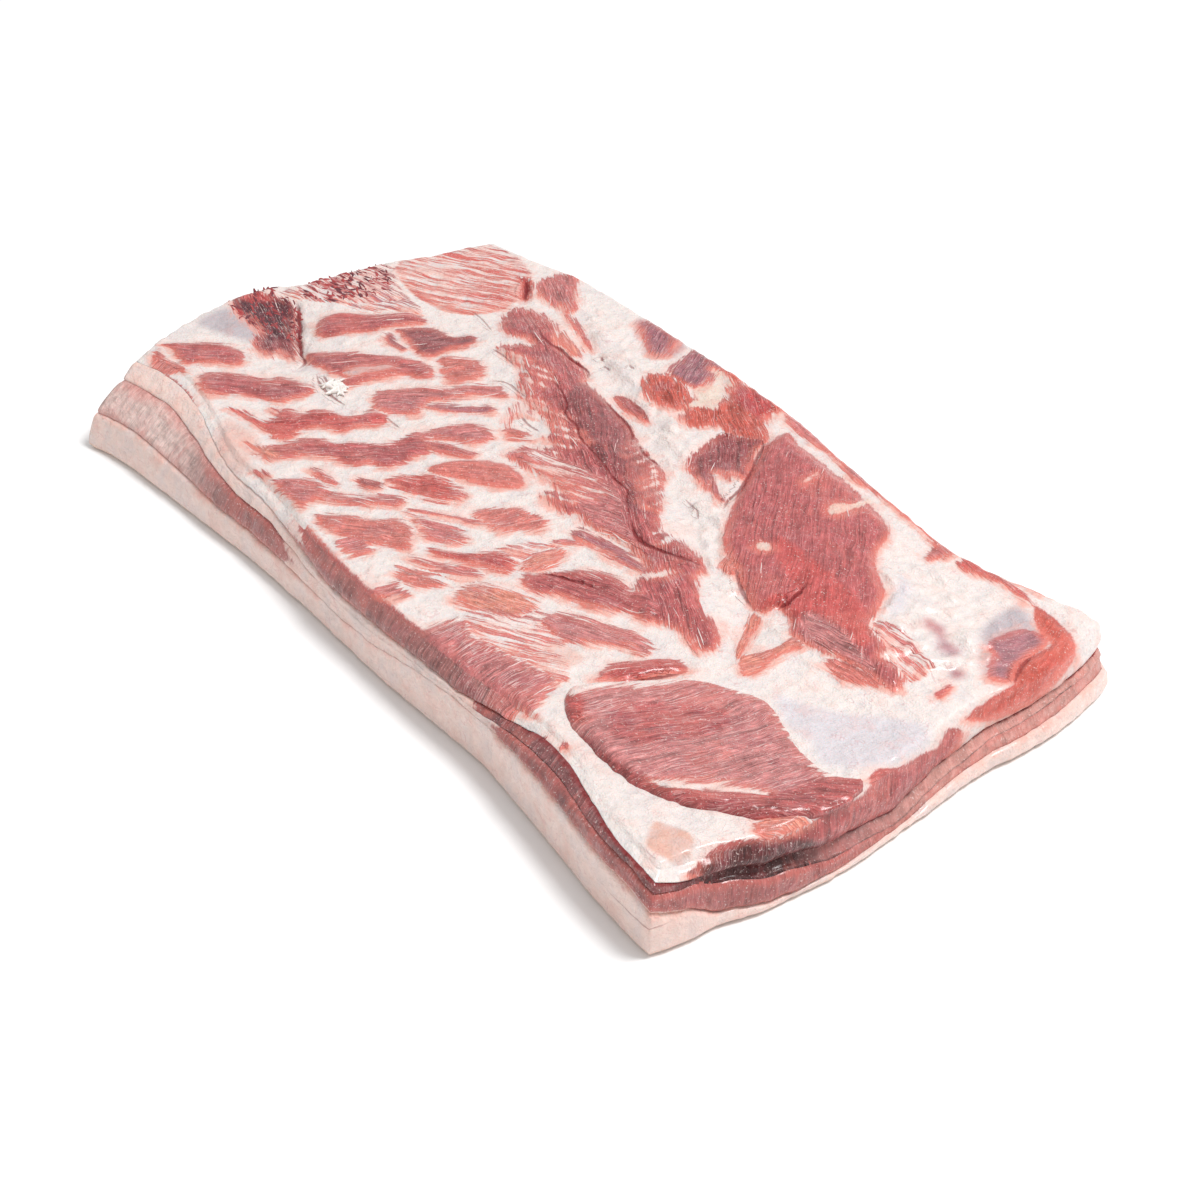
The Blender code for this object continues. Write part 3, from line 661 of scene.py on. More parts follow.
     [(144, -126), (150, -127), (164, -131), (176, -136), (190, -139), (193, -145), (186, -149),
      (170, -146), (156, -138)]),
]
REGIONS += slips((-160, 76), (-98, 46), 8, (34, 11), 4.2)
REGIONS += slips((-94, 44), (-16, 0), 11, (32, 17), 3.8)
REGIONS += slips((-30, 84), (60, 32), 15, (-1, -13), 3.0)


# Lines where the surface folds in: width and depth in millimetres, darkness of the dark red
# painted along them (partly their own colour, partly painted shade), points.
CREASES = [
    (1.6, 3.0, 1.0, [(-276, 11), (-268, 8), (-260, 2), (-250, -3), (-240, -11), (-230, -16),
                     (-222, -21), (-214, -23.5), (-211, -31)]),
    (1.0, 1.6, 0.7, [(-200, -25), (-192, -29), (-182, -31.5), (-170, -32), (-160, -31.5)]),
    (1.0, 1.2, 0.7, [(-196, -23), (-190, -25), (-186, -26)]),
    (0.8, 0.8, 0.5, [(-136, -20), (-129, -21), (-121, -21)]),
    (1.3, 2.2, 0.9, [(-160, 110), (-152, 105), (-140, 103), (-130, 103.5), (-120, 101.5),
                     (-110, 101), (-100, 100), (-95, 95)]),
    (0.9, 2.2, 0.8, [(-114, 81), (-102, 77), (-92, 74), (-80, 68), (-73, 61), (-60, 59),
                     (-50, 53), (-35, 49.5), (-20, 46), (-5, 41.5), (8, 40), (14, 35), (22, 29),
                     (32, 23)]),
    (1.5, 3.0, 0.95, [(30, 24), (44, 16.5), (54, 15), (64, 17.5), (76, 22), (89, 26)]),
    (1.0, 1.6, 0.8, [(-72, 88.5), (-58, 85), (-44, 82.5), (-32, 77), (-26, 71)]),
    (0.9, 1.4, 0.7, [(-23, 74.5), (-13, 70), (2, 69)]),
    (1.2, 2.4, 0.8, [(16, 132), (24, 126), (30, 116), (37, 106), (43, 96), (48, 86), (51, 76),
                     (56, 68)]),
    (1.3, 2.0, 0.9, [(1, 121), (3, 114)]),
    (1.2, 2.4, 0.95, [(133, 58), (137, 51), (139, 44), (141, 37), (141, 31)]),
    (1.2, 1.8, 0.7, [(99, 39), (109, 32), (120, 26), (132, 21)]),
    (1.8, 3.0, 1.0, [(-209, 138), (-202, 133), (-196, 128), (-190, 122)]),
    (1.4, 2.4, 0.85, [(39, -45), (46, -40), (54, -36), (62, -32), (72, -30)]),
    (1.6, 2.6, 0.8, [(150, -43), (146, -52), (143, -60), (139, -68)]),
    (1.2, 2.0, 0.7, [(251, 106), (253, 96), (257, 87), (261, 81)]),
    (2.4, 2.0, 1.0, [(-114, -125), (-106, -127), (-97, -132)]),
    (1.6, 2.0, 0.8, [(145, -126), (149, -131), (154, -136)]),
    (1.6, 2.0, 1.0, [(207, -145), (213, -147), (220, -148.5)]),
    (1.0, 0.8, 0.6, [(-88, 40), (-77, 38), (-68, 38.5)]),
    (0.8, 0.8, 0.5, [(-158, 72), (-146, 72.5), (-132, 70.5)]),
    (0.8, 0.8, 0.5, [(-130, 48), (-125, 54), (-118, 56), (-110, 55), (-98, 55)]),
    (0.7, 0.6, 0.5, [(-200, 89), (-188, 88), (-172, 84)]),
    (1.3, 1.2, 0.8, [(-109, 117), (-104, 114)]),
    (1.0, 1.0, 0.7, [(-100, 112), (-94, 111)]),
    (1.0, 1.0, 0.6, [(-92, 124), (-86, 123)]),
    (0.8, 0.6, 0.5, [(34, 59), (42, 57.5), (48, 57)]),
    (0.8, 0.6, 0.5, [(46, 58), (54, 52)]),
]


def on_drawing(points):
    """Where points of the meat lie on the drawing plane, seen from the view point."""
    share = (DRAWING_HEIGHT - VIEW_POINT[2]) / (points[:, 2] - VIEW_POINT[2])
    return VIEW_POINT[:2] + (points[:, :2] - VIEW_POINT[:2]) * share[:, None]


def line_distance(places, line, closed):
    """Distance to a line, its side there (+1 left), share along it, and the way to it."""
    start = line if closed else line[:-1]
    run = np.roll(line, -1, axis=0) - line if closed else line[1:] - line[:-1]
    from_start = places[:, None] - start[None]
    t = np.clip((from_start * run).sum(-1) / np.maximum((run * run).sum(-1), 1e-12), 0, 1)
    away = np.linalg.norm(from_start - t[..., None] * run, axis=-1)
    nearest = away.argmin(axis=1)
    rows = np.arange(len(places))
    to_line = t[rows, nearest, None] * run[nearest] - from_start[rows, nearest]
    side = np.where(np.cross(run[nearest], from_start[rows, nearest]) >= 0, 1.0, -1.0)
    share = (nearest + t[rows, nearest]) / len(start)
    return away[rows, nearest], side, share, to_line


def near_line(places, line, margin):
    """Numbers of the places inside a line's box widened by a margin."""
    low, high = line.min(axis=0) - margin, line.max(axis=0) + margin
    return np.flatnonzero(((places > low) & (places < high)).all(axis=1))


def depth_in(places, outline):
    """Which places lie near an outline, how deep inside it, and the way out of it."""
    near = near_line(places, outline, 12 * MM)
    spots = places[near]
    depth, _, _, to_line = line_distance(spots, outline, closed=True)
    start, end = outline, np.roll(outline, -1, axis=0)
    crosses = (start[:, 1] > spots[:, None, 1]) != (end[:, 1] > spots[:, None, 1])
    rise = np.where(end[:, 1] == start[:, 1], 1e-12, end[:, 1] - start[:, 1])
    meets = start[:, 0] + (spots[:, None, 1] - start[:, 1]) / rise * (end - start)[:, 0]
    inside = (crosses & (spots[:, None, 0] < meets)).sum(axis=1) % 2 == 1
    sign = np.where(inside, 1.0, -1.0)
    return near, depth * sign, to_line * (sign / np.maximum(depth, 1e-9))[:, None]


def zone_outline(points):
    return smooth_curve(placed(points), closed=True, steps=5)


OUTLINES = [zone_outline(row[5]) for row in REGIONS]
CREASE_LINES = [smooth_curve(placed(row[3]), steps=5) for row in CREASES]
# Which way in plan the orange-red rims of the muscles face.
WARM_WAY = np.array((0.75, -0.66))
# Depth in millimetres of what lies outside every outline.
OUTSIDE = -12.0


def near_creases(places):
    """Each crease's row with the places near it, their distance, side and share along."""
    for row, line in zip(CREASES, CREASE_LINES):
        near = near_line(places, line, 8 * MM)
        away, side, share, _ = line_distance(places[near], line, closed=False)
        yield row, near, away, side, share


class Finish:
    """What the shader reads at each vertex of a piece."""

    def __init__(self, count, depth=OUTSIDE, lean="lean", fat="white", streak=1.0, angle=0.0):
        self.depth = np.full(count, depth)
        self.streak = np.full(count, streak)
        self.angle = np.full(count, math.radians(angle))
        self.lean = np.tile(tint(lean), (count, 1))
        self.fat = np.tile(tint(fat), (count, 1))
        self.warm = np.zeros(count)
        # Distance to the nearest crease, and how dark it is painted: partly its own dark red,
        # partly painted shade.
        self.crease = np.full(count, 4.0)
        self.dark = np.zeros(count)

    def draw(self, places, regions, outlines):
        """Lays the regions over one another, in their order."""
        owner = np.full(len(places), OUTSIDE)
        for (kind, name, angle, streak, _, _), outline in zip(regions, outlines):
            near, depth, out = depth_in(places, outline)
            depth = depth / MM
            colour = tint(name)
            if kind in (VEIL, PATCH):
                reach = 9 if kind == VEIL else 2.5
                soft = smooth_step((depth + reach / 3) / reach)[:, None]
                self.fat[near] = self.fat[near] * (1 - soft) + colour * soft
                continue
            soft = smooth_step((depth + 4.5) / 5)[:, None]
            if kind == FAT:
                self.depth[near] = np.minimum(self.depth[near], -depth)
                self.fat[near] = self.fat[near] * (1 - soft) + colour * soft
                continue
            owns = (depth >= owner[near]) | (depth > 0)
            mine = near[owns]
            owner[mine] = depth[owns]
            self.angle[mine] = math.radians(angle)
            self.warm[mine] = (out[owns] @ WARM_WAY) * np.exp(-(depth[owns] / 7) ** 2)
            if kind == MIX:
                blend = smooth_step((depth + 2.5) / 4)
                self.depth[near] = self.depth[near] * (1 - blend) - 0.2 * blend
            else:
                self.depth[near] = np.maximum(self.depth[near], depth)
            self.lean[near] = self.lean[near] * (1 - soft) + colour * soft
            edge = smooth_step((depth + 5) / 5)
            self.streak[near] = self.streak[near] * (1 - edge) + streak * edge

    def fold(self, places):
        """Marks the creases: signed distance in their own widths, and darkness, the dark red
        painted along them, partly their own colour and partly painted shade.
        """
        for (width, _, dark, _), near, away, side, share in near_creases(places):
            taper = 0.35 + 0.65 * np.sin(np.pi * np.clip(share, 0, 1)) ** 0.6
            mark = np.minimum(away / (width * MM * taper), 4) * side
            closer = np.abs(mark) < np.abs(self.crease[near])
            self.crease[near[closer]] = mark[closer]
            fade = dark * np.minimum(1, 6 * np.minimum(share, 1 - share) + 0.1)
            self.dark[near] = np.maximum(self.dark[near], fade * (np.abs(mark) < 3.9))


def relief(places):
    """Height of mounds, fingers and creases above the rib side's smooth face."""
    total = np.zeros(len(places))
    lift_share, crease_share = sizes().finger_lift, sizes().crease_depth
    for (_, _, _, _, lift, _), outline in zip(REGIONS, OUTLINES):
        if lift == 0:
            continue
        near, depth, _ = depth_in(places, outline)
        reach = (3.0 + 1.6 * abs(lift)) * MM
        total[near] += smooth_step((depth + 1.0 * MM) / reach) * lift * lift_share * MM
    for (width, deep, _, _), near, away, _, share in near_creases(places):
        taper = np.sin(np.pi * np.clip(share, 0.02, 0.98)) ** 0.5
        groove = taper * np.exp(-(away / (1.3 * width * MM)) ** 2)
        total[near] -= deep * crease_share * MM * groove
    return total


# ---------------------------------------------------------------- meshes
def add_piece(name, mesh, material):
    mesh.materials.clear()
    mesh.materials.append(material)
    piece = bpy.data.objects.new(name, mesh)
    bpy.context.scene.collection.objects.link(piece)
    return piece


def read_all(items, key, width=1, dtype=np.float32):
    """One property of all the vertices, corners or faces of a mesh."""
    values = np.empty(len(items) * width, dtype)
    items.foreach_get(key, values)
    return values.reshape(-1, width) if width > 1 else values


def corner_grain(mesh, points, angle, wall, run):
    """Fibre coordinates in millimetres at each face corner: along and across.

    Level faces turn with the angle at their first corner; side faces run up the side.
    """
    vertex, start, total = (read_all(mesh.loops, "vertex_index", dtype=np.int32),
                            read_all(mesh.polygons, "loop_start", dtype=np.int32),
                            read_all(mesh.polygons, "loop_total", dtype=np.int32))
    lead = np.repeat(vertex[start], total)
    x, y, z = (points[vertex] / MM).T
    c, s = np.cos(angle[lead]), np.sin(angle[lead])
    level = np.column_stack([x * c + y * s, y * c - x * s, np.zeros(len(z))])
    around = run[vertex]
    turn = LOOP.run[-1] + LOOP.run[1]
    around = np.where(run[lead] - around > turn / 2, around + turn, around)
    up = np.column_stack([z * 1.6, around * 0.8, np.zeros(len(z))])
    return np.where(np.repeat(wall, total)[:, None], up, level)


def store(mesh, name, values, domain="POINT"):
    """Keeps a number or a vector for every vertex or face corner."""
    kind, key = ("FLOAT", "value") if values.ndim == 1 else ("FLOAT_VECTOR", "vector")
    layer = mesh.attributes.new(name, kind, domain)
    layer.data.foreach_set(key, values.astype(np.float32).ravel())


def add_meat(name, points, faces, material, finish, wall, run):
    """A closed piece with what its shader reads; wall says which faces are its side."""
    mesh = bpy.data.meshes.new(name)
    mesh.from_pydata(points.tolist(), [], faces)
    mesh.update()
    mesh.shade_smooth()
    for key in ("depth", "streak", "crease", "dark", "warm"):
        store(mesh, key, getattr(finish, key))
    way = np.column_stack([np.cos(finish.angle), np.sin(finish.angle), np.zeros(len(points))])
    for key, value in (("lean_tint", finish.lean), ("fat_tint", finish.fat), ("way", way)):
        store(mesh, key, value)
    store(mesh, "grain", corner_grain(mesh, points, finish.angle, wall, run), "CORNER")
    return add_piece(name, mesh, material)


class Loop:
    """The slab's border at one fineness, shared by all layers so that they meet."""

    def __init__(self, long, wide):
        self.cells = (long, wide)
        self.i = np.r_[np.arange(long), np.full(wide, long),
                       np.arange(long, 0, -1), np.zeros(wide, int)]
        self.j = np.r_[np.zeros(long, int), np.arange(wide),
                       np.full(long, wide), np.arange(wide, 0, -1)]
        self.uv = np.column_stack([self.i / long, self.j / wide])
        self.count = len(self.uv)
        self.place = loop_place(self.uv[:, 0], self.uv[:, 1])
        foot = plan(-1, self.uv[:, 0], self.uv[:, 1])
        step = np.linalg.norm(np.diff(foot, axis=0), axis=1)
        self.run = np.r_[0, np.cumsum(step)] / MM

    def ragged(self, size, seed):
        """Noise round the loop, the same at its two ends."""
        turn = np.linspace(0, 2 * np.pi, self.count, endpoint=False)
        radius = self.run[-1] / (2 * np.pi)
        return noise(np.column_stack([np.cos(turn), np.sin(turn)]) * radius, size, seed)

    def ring(self, level, inset=0.0):
        """The border of a level, or a ring further inside it, as points."""
        shrink = 1 - 2 * inset / np.array([SLAB_LENGTH, SLAB_WIDTH])
        uv = 0.5 + (self.uv - 0.5) * shrink
        weight = rim_weight(uv[:, 0], uv[:, 1])
        xy = plan(level, uv[:, 0], uv[:, 1])
        height = np.zeros(len(uv))
        if level >= 0:
            rim = rim_height(level, self.place)
            rim = rim + (0.8 * self.ragged(21, 31 + level) + 0.4 * self.ragged(6, 41 + level)) * MM
            height = weight * rim + (1 - weight) * INNER_HEIGHTS[level]
        return np.column_stack([xy, height])


LOOP = Loop(CELLS_LONG, CELLS_WIDE)


def join_rings(starts, count=LOOP.count):
    """Quads between rings that start at the given vertex numbers."""
    k = np.arange(count)
    after = (k + 1) % count
    faces = []
    for under, over in zip(starts[:-1], starts[1:]):
        faces += np.column_stack([under + k, under + after, over + after, over + k]).tolist()
    return faces


CAP_INSETS = (5 * MM, 14 * MM, 30 * MM, 62 * MM)


def quarter(t):
    """Rises fast from 0 to 1 as a rounded edge does."""
    return np.sqrt(1 - (1 - np.clip(t, 0, 1)) ** 2)


def rim_round(place):
    """How far down the rib side's edge is rounded, less where its sheet is thin."""
    sheet = rim_height(RIB_SIDE, place) - rim_height(SEAM_FAT, place)
    return np.minimum(sizes().rim_round * (1 - 0.65 * lean_band(place)), 0.5 * sheet)


def lean_band(place):
    """Where round the slab the lean of the rib side shows as a band up to its edge."""
    return round_loop(place, (0.3, 0.45, 0.71, 0.745, 3.9), (0, 1, 1, 0, 0))


def wall_shape(level, t):
    """How far a layer's side stands out of the straight slope, in millimetres."""
    place = LOOP.place
    both = min(quarter(t / 0.3), quarter((1 - t) / 0.3))
    plain = lean_band(place)
    if level == FAT_CAP:
        top = min(quarter((1 - t) / 0.15), 1) * (1 - plain) + plain
        return 3.0 * top * (0.75 + 0.25 * math.sin(math.pi * t))
    if level == LOWER_LEAN:
        flush = round_loop(place, (1.25, 1.45, 2.0, 2.2), (0, 1, 1, 0))
        return 2.2 * (both * (1 - plain) * (1 - flush) + plain)
    if level == SEAM_FAT:
        recess = round_loop(place, (1.02, 1.2, 1.27, 1.4, 1.9, 2.15),
                            (0, 2.6, 2.6, 0.5, 0.5, 0))
        swell = 1.6 * both * (1 - plain) + 2.2 * plain * quarter((1 - t) / 0.4)
        return swell * (recess < 0.5) - recess * both
    out = round_loop(place, (0.05, 0.5, 1.25, 1.4, 1.9, 2.5),
                     (1.5, 3.0, 4.0, 2.2, 2.0, 3.0))
    return out * min(quarter(t / 0.35), 1) * (1 - smooth_step((t - 0.45) / 0.55))


def wall_rings(level):
    """Rings of a layer's side from its lower border to its upper one."""
    low, high = LOOP.ring(level - 1), LOOP.ring(level)
    way = outward((low[:, :2] + high[:, :2]) / 2)
    if level == RIB_SIDE:
        high[:, 2] -= rim_round(LOOP.place)
    thickness = np.maximum((high[:, 2] - low[:, 2]) / MM, 0)
    foot = sizes().foot_round / MM
    made = []
    for t in np.linspace(0, 1, SIDE_RINGS[level]):
        ring = low * (1 - t) + high * t
        swell = np.minimum(wall_shape(level, t), 0.45 * thickness + 9 * lean_band(LOOP.place))
        where = np.column_stack([LOOP.run, ring[:, 2] / MM * 0.5,
                                 np.full(LOOP.count, level * 9.0)])
        inner = math.sin(math.pi * t) ** 0.5
        swell = swell + inner * (0.7 * noise(where, 17, 5) + 0.5 * noise(where, 7, 6)
                                 + 0.25 * noise(where, 3, 7))
        if level == FAT_CAP:
            swell -= foot * (1 - quarter(ring[:, 2] / MM / foot))
        ring[:, :2] += way * (swell * MM)[:, None]
        made.append(ring)
    return made


def borders(level, count):
    """Heights of a layer's lower and upper border, repeated for a count of rings."""
    return (np.tile(LOOP.ring(k)[:, 2], count) for k in (level - 1, level))


def build_inner_layer(name, level, paint):
    """A layer under the rib side: its side in full, its two faces as simple caps."""
    under = [LOOP.ring(level - 1, inset) for inset in reversed(CAP_INSETS)]
    side = wall_rings(level)
    over = [LOOP.ring(level, inset) for inset in CAP_INSETS]
    points = np.vstack(under + side + over)
    starts = [k * LOOP.count for k in range(len(under) + len(side) + len(over))]
    faces = join_rings(starts)
    wall = np.zeros(len(faces) + 2, bool)
    wall[(len(under) - 1) * LOOP.count:(len(under) + len(side)) * LOOP.count] = True
    faces.append(list(range(LOOP.count))[::-1])
    faces.append(list(range(starts[-1], starts[-1] + LOOP.count)))
    finish = Finish(len(points))
    low, high = borders(level, len(starts))
    depth = np.minimum(points[:, 2] - low, high - points[:, 2]) / MM
    paint(finish, points, np.tile(LOOP.place, len(starts)), depth)
    return add_meat(name, points, faces, meat_material(name), finish, wall,
                    np.tile(LOOP.run, len(starts)))


def tint_round(place, stations, names):
    """Colours that change smoothly round the slab."""
    channels = [round_loop(place, stations, [tint(n)[k] for n in names]) for k in range(3)]
    return np.column_stack(channels)


def paint_fat_cap(finish, points, place, depth):
    finish.depth = -depth - 2.2
    finish.depth[points[:, 2] < 8 * MM] = -9
    finish.streak[:] = 0.4
    finish.fat[:] = tint("rindfat")
    finish.crease = (points[:, 2] - 19 * MM) / (0.5 * MM)
    finish.dark = round_loop(place, (0.93, 0.97, 1.01, 1.04), (0, 0.4, 0.4, 0))


def paint_lower_lean(finish, points, place, depth):
    shown = round_loop(place, (0.3, 0.42, 0.68, 0.76, 3.9), (1, 0, 0, 1, 1))
    low, high = borders(LOWER_LEAN, len(place) // LOOP.count)
    share = (points[:, 2] - low) / np.maximum(high - low, MM)
    at_tip = round_loop(place, (0.9, 0.98, 1.03, 1.1), (0, 1, 1, 0))
    finish.depth = (depth + 1.2) * shown - 4 * (1 - shown)
    finish.warm[:] = -0.5
    finish.depth -= 9 * at_tip * np.clip(0.5 - share, 0, 0.5)
    finish.streak = round_loop(place, (0.1, 0.3, 1.4, 1.6, 2.0, 2.3),
                               (0.25, 0.5, 0.5, 0.1, 0.1, 0.4))
    finish.fat[:] = tint("rindfat")
    finish.lean = tint_round(place, (0.1, 0.26, 0.6, 0.85, 1.02, 1.3, 1.6, 1.95, 2.5, 3.5),
                             ("pale", "brown", "brown", "column", "flap", "flap",
                              "shelf", "shelf", "rose", "rose"))


def paint_seam_fat(finish, points, place, depth):
    shown = round_loop(place, (0.66, 0.74, 2.0, 2.08, 3.9), (0, 1, 1, 0, 0))
    finish.depth = (-depth - 3) * (1 - shown) + 6 * shown
    finish.warm[:] = -0.5
    finish.streak = round_loop(place, (1.2, 1.32, 2.0, 2.2), (0.5, 0.1, 0.1, 0.5))
    finish.fat[:] = tint("rindfat")
    # Painted shade: where the seam lies deep in the near gap, its lean is painted almost black.
    finish.lean = tint_round(place, (0.5, 0.75, 0.98, 1.07, 1.24, 1.32, 1.6, 1.95, 3.0),
                             ("column", "column", "column", "crevice", "crevice", "brown",
                              "shelf", "shelf", "rose"))
    # Painted shade: a dark red line along the seam's top, where the rib side overhangs it.
    _, high = borders(SEAM_FAT, len(place) // LOOP.count)
    finish.crease = (high - points[:, 2]) / (1.0 * MM) + 0.2
    finish.dark = round_loop(place, (0.7, 0.8, 1.1, 2.0, 2.05, 3.0), (0, 0.8, 1, 1, 0, 0))


# Broad mounds and hollows of the rib side, as the CAD has them, in millimetres.
MOUNDS = [
    ((60, 115), (190, 50), 40, 5.0), ((-150, 90), (110, 5), 24, 4.5),
    ((-120, 115), (140, 10), 13, -3.5), ((-60, 140), (10, 135), 20, 2.0),
    ((190, 5), (250, 0), 22, -3.0), ((180, 110), (235, 100), 25, -2.0),
    ((-285, 5), (-225, -20), 16, -4.0),
]


def mounds(xy):
    total = np.zeros(len(xy))
    for start, end, half_width, height in MOUNDS:
        start, end = placed(start), placed(end)
        run = end - start
        t = np.clip(((xy - start) @ run) / (run @ run), 0, 1)
        away = np.linalg.norm(xy - start - t[:, None] * run, axis=1)
        total += height * MM * np.exp(-(away / (half_width * MM)) ** 2)
    return total


# Soft, lumpy fat of the valley and the right side, in millimetres on the drawing plane.
LUMP_ZONES = [
    [(-156, 142), (-120, 140), (-78, 126), (-34, 108), (6, 96), (2, 84), (-36, 92), (-84, 108),
     (-128, 124)],
    [(146, 98), (160, 116), (190, 120), (220, 116), (242, 86), (224, 52), (204, 46), (184, 60),
     (170, 84)],
    [(52, 68), (88, 46), (118, 28), (110, 16), (76, 36), (44, 54)],
]


def top_net():
    """The rib side's fine net: border first in the loop's order, then the inside."""
    long, wide = LOOP.cells
    number = np.empty((long + 1, wide + 1), int)
    number[LOOP.i, LOOP.j] = np.arange(LOOP.count)
    number[1:-1, 1:-1] = LOOP.count + np.arange((long - 1) * (wide - 1)).reshape(long - 1, -1)
    u, v = np.meshgrid(np.linspace(0, 1, long + 1), np.linspace(0, 1, wide + 1), indexing="ij")
    uv = np.empty((number.size, 2))
    uv[number.ravel()] = np.column_stack([u.ravel(), v.ravel()])
    quads = np.stack([number[:-1, :-1], number[1:, :-1], number[1:, 1:], number[:-1, 1:]], axis=-1)
    return uv, quads.reshape(-1, 4)


def top_points(uv):
    """The rib side's face with its mounds, fingers and creases."""
    weight = rim_weight(uv[:, 0], uv[:, 1])
    place = loop_place(uv[:, 0], uv[:, 1])
    xy = plan(RIB_SIDE, uv[:, 0], uv[:, 1])
    height = weight * rim_height(RIB_SIDE, place) + (1 - weight) * INNER_HEIGHTS[RIB_SIDE]
    height += mounds(xy) * (1 - weight ** 3)
    points = np.column_stack([xy, height])
    inside = border_distance(uv[:, 0], uv[:, 1])
    flat = on_drawing(points)
    points[:, 2] += relief(flat) * smooth_step(inside / (6 * MM))
    points[:, 2] += (0.9 * noise(flat, 26 * MM, 51) + 0.6 * noise(flat, 9 * MM, 52)
                     + 0.35 * noise(flat, 4.5 * MM, 53)) * MM
    for zone in LUMP_ZONES:
        near, depth, _ = depth_in(flat, zone_outline(zone))
        lumps = (np.abs(noise(flat[near], 13 * MM, 56))
                 + 0.3 * np.abs(noise(flat[near], 7 * MM, 57)))
        points[near, 2] += smooth_step(depth / (5 * MM) + 0.3) * lumps * 4.6 * MM
    rounding = rim_round(place)
    points[:, 2] -= rounding * (1 - quarter(inside / (rounding * 1.3)))
    border = LOOP.ring(RIB_SIDE)
    border[:, 2] -= rim_round(LOOP.place)
    points[:LOOP.count] = border
    return points


def raise_fibres(points, finish, count, inside, amount):
    """Lifts strands that run along the fibres, where there is lean."""
    c, s = np.cos(finish.angle[:count]), np.sin(finish.angle[:count])
    x, y = points[:count, 0], points[:count, 1]
    along_across = np.column_stack([(x * c + y * s) / 5, y * c - x * s])
    lean = smooth_step((finish.depth[:count] + 0.5) / 3)
    strands = noise(along_across, 4.2 * MM, 54) + 0.6 * noise(along_across, 2.4 * MM, 55)
    points[:count, 2] += strands * lean * smooth_step(inside / (6 * MM)) * amount * MM


def build_rib_side():
    uv, quads = top_net()
    top = top_points(uv)
    sides = wall_rings(RIB_SIDE)[:-1]
    under = [LOOP.ring(RIB_SIDE - 1, inset) for inset in reversed(CAP_INSETS)]
    rings = under + sides
    points = np.vstack([top] + rings)
    starts = [len(top) + k * LOOP.count for k in range(len(rings))] + [0]
    side_faces = join_rings(starts)
    faces = quads.tolist() + side_faces
    wall = np.zeros(len(faces) + 1, bool)
    wall[len(quads) + (len(under) - 1) * LOOP.count:len(faces)] = True
    faces.append(list(range(starts[0], starts[0] + LOOP.count))[::-1])
    finish = Finish(len(points), fat="white")
    place = np.tile(LOOP.place, len(rings))
    side = np.arange(len(top), len(points))
    low, high = borders(RIB_SIDE, len(rings))
    share = np.clip((points[side, 2] - low) / np.maximum(high - low, MM), 0, 1)
    hidden = round_loop(place, (0.5, 1.96, 2.1, 3.0, 3.85, 3.97), (0, 0, 1, 1, 1, 0))
    strand = noise(np.column_stack([np.tile(LOOP.run, len(rings)), share * 12]), 34, 61)
    finish.depth[side] = -6 + hidden * (9 - np.abs(share - 0.45) * 14 + 7 * strand)
    flat = on_drawing(points)
    finish.draw(flat, REGIONS, OUTLINES)
    finish.fold(flat)
    inside = border_distance(uv[:, 0], uv[:, 1])
    band = lean_band(place)
    finish.depth[side] = np.maximum(finish.depth[side],
                                    np.minimum((share - 1 + band) * 14, 4) - 0.5)
    finish.lean[side] += (tint("brown") - finish.lean[side]) * band[:, None]
    finish.streak[side] *= 1 - 0.65 * band
    finish.warm[side] -= 0.4 * band
    top_band = lean_band(loop_place(uv[:, 0], uv[:, 1])) > 0.5
    at_edge = np.flatnonzero(top_band & (inside < 4 * MM))
    finish.depth[at_edge] = np.maximum(finish.depth[at_edge], 1.4 - inside[at_edge] / MM)
    finish.streak[at_edge] = 0.4
    raise_fibres(points, finish, len(top), inside, sizes().fibre_lift / MM)
    run = np.concatenate([np.zeros(len(top)), np.tile(LOOP.run, len(rings))])
    run[:LOOP.count] = LOOP.run
    return add_meat("rib_side_sheet", points, faces, meat_material("rib_side_sheet"), finish,
                    wall, run)


# Outline of the near muscle in millimetres, and the lean and fat on it.
NEAR_MUSCLE = [(128, -98), (131, -83), (141, -65), (155, -44), (172, -33), (192, -25),
               (212, -30), (236, -38), (256, -36), (266, -28), (272, -42), (269, -66),
               (256, -86), (239, -100), (221, -112), (198, -118), (172, -117), (146, -112)]
MUSCLE_MIDDLE = placed([(198, -72)])[0]
# The way the near muscle's fibres run, in degrees.
MUSCLE_GRAIN = 78
MUSCLE_REGIONS = [
    (LEAN, "muscle", MUSCLE_GRAIN, 2.6, 0,
     [(124, -102), (129, -92), (133, -82), (140, -70), (149, -57), (158, -40), (169, -33),
      (183, -29), (194, -22), (206, -28), (222, -33), (233, -36), (242, -39), (254, -37),
      (263, -26), (276, -22), (284, -40), (282, -70), (264, -94), (238, -112), (214, -128),
      (197, -130), (170, -128), (140, -120), (124, -112)]),
    (LEAN, "cut", 51, 1.0, 0,
     [(158, -112), (168, -113), (178, -112), (191, -111), (204, -107), (211, -100), (222, -90),
      (232, -80), (243, -71), (251, -61), (253, -48), (258, -39), (266, -26), (282, -30),
      (284, -70), (264, -94), (238, -112), (214, -128), (197, -130), (175, -128), (158, -122)]),
    (FAT, "white", 51, 1.0, 0,
     [(204, -107.5), (213, -101), (223, -91), (233, -81), (244, -72), (242, -69), (231, -77),
      (221, -87), (210, -97), (203, -104)]),
    (LEAN, "red", 20, 1.4, 0,
     [(128, -98), (133, -94), (140, -99), (145, -105), (140, -109), (132, -106)]),
    (LEAN, "lean", 72, 2.0, 0,
     [(152, -84), (162, -66), (176, -54), (186, -46), (194, -56), (186, -76), (176, -92),
      (162, -96)]),
]


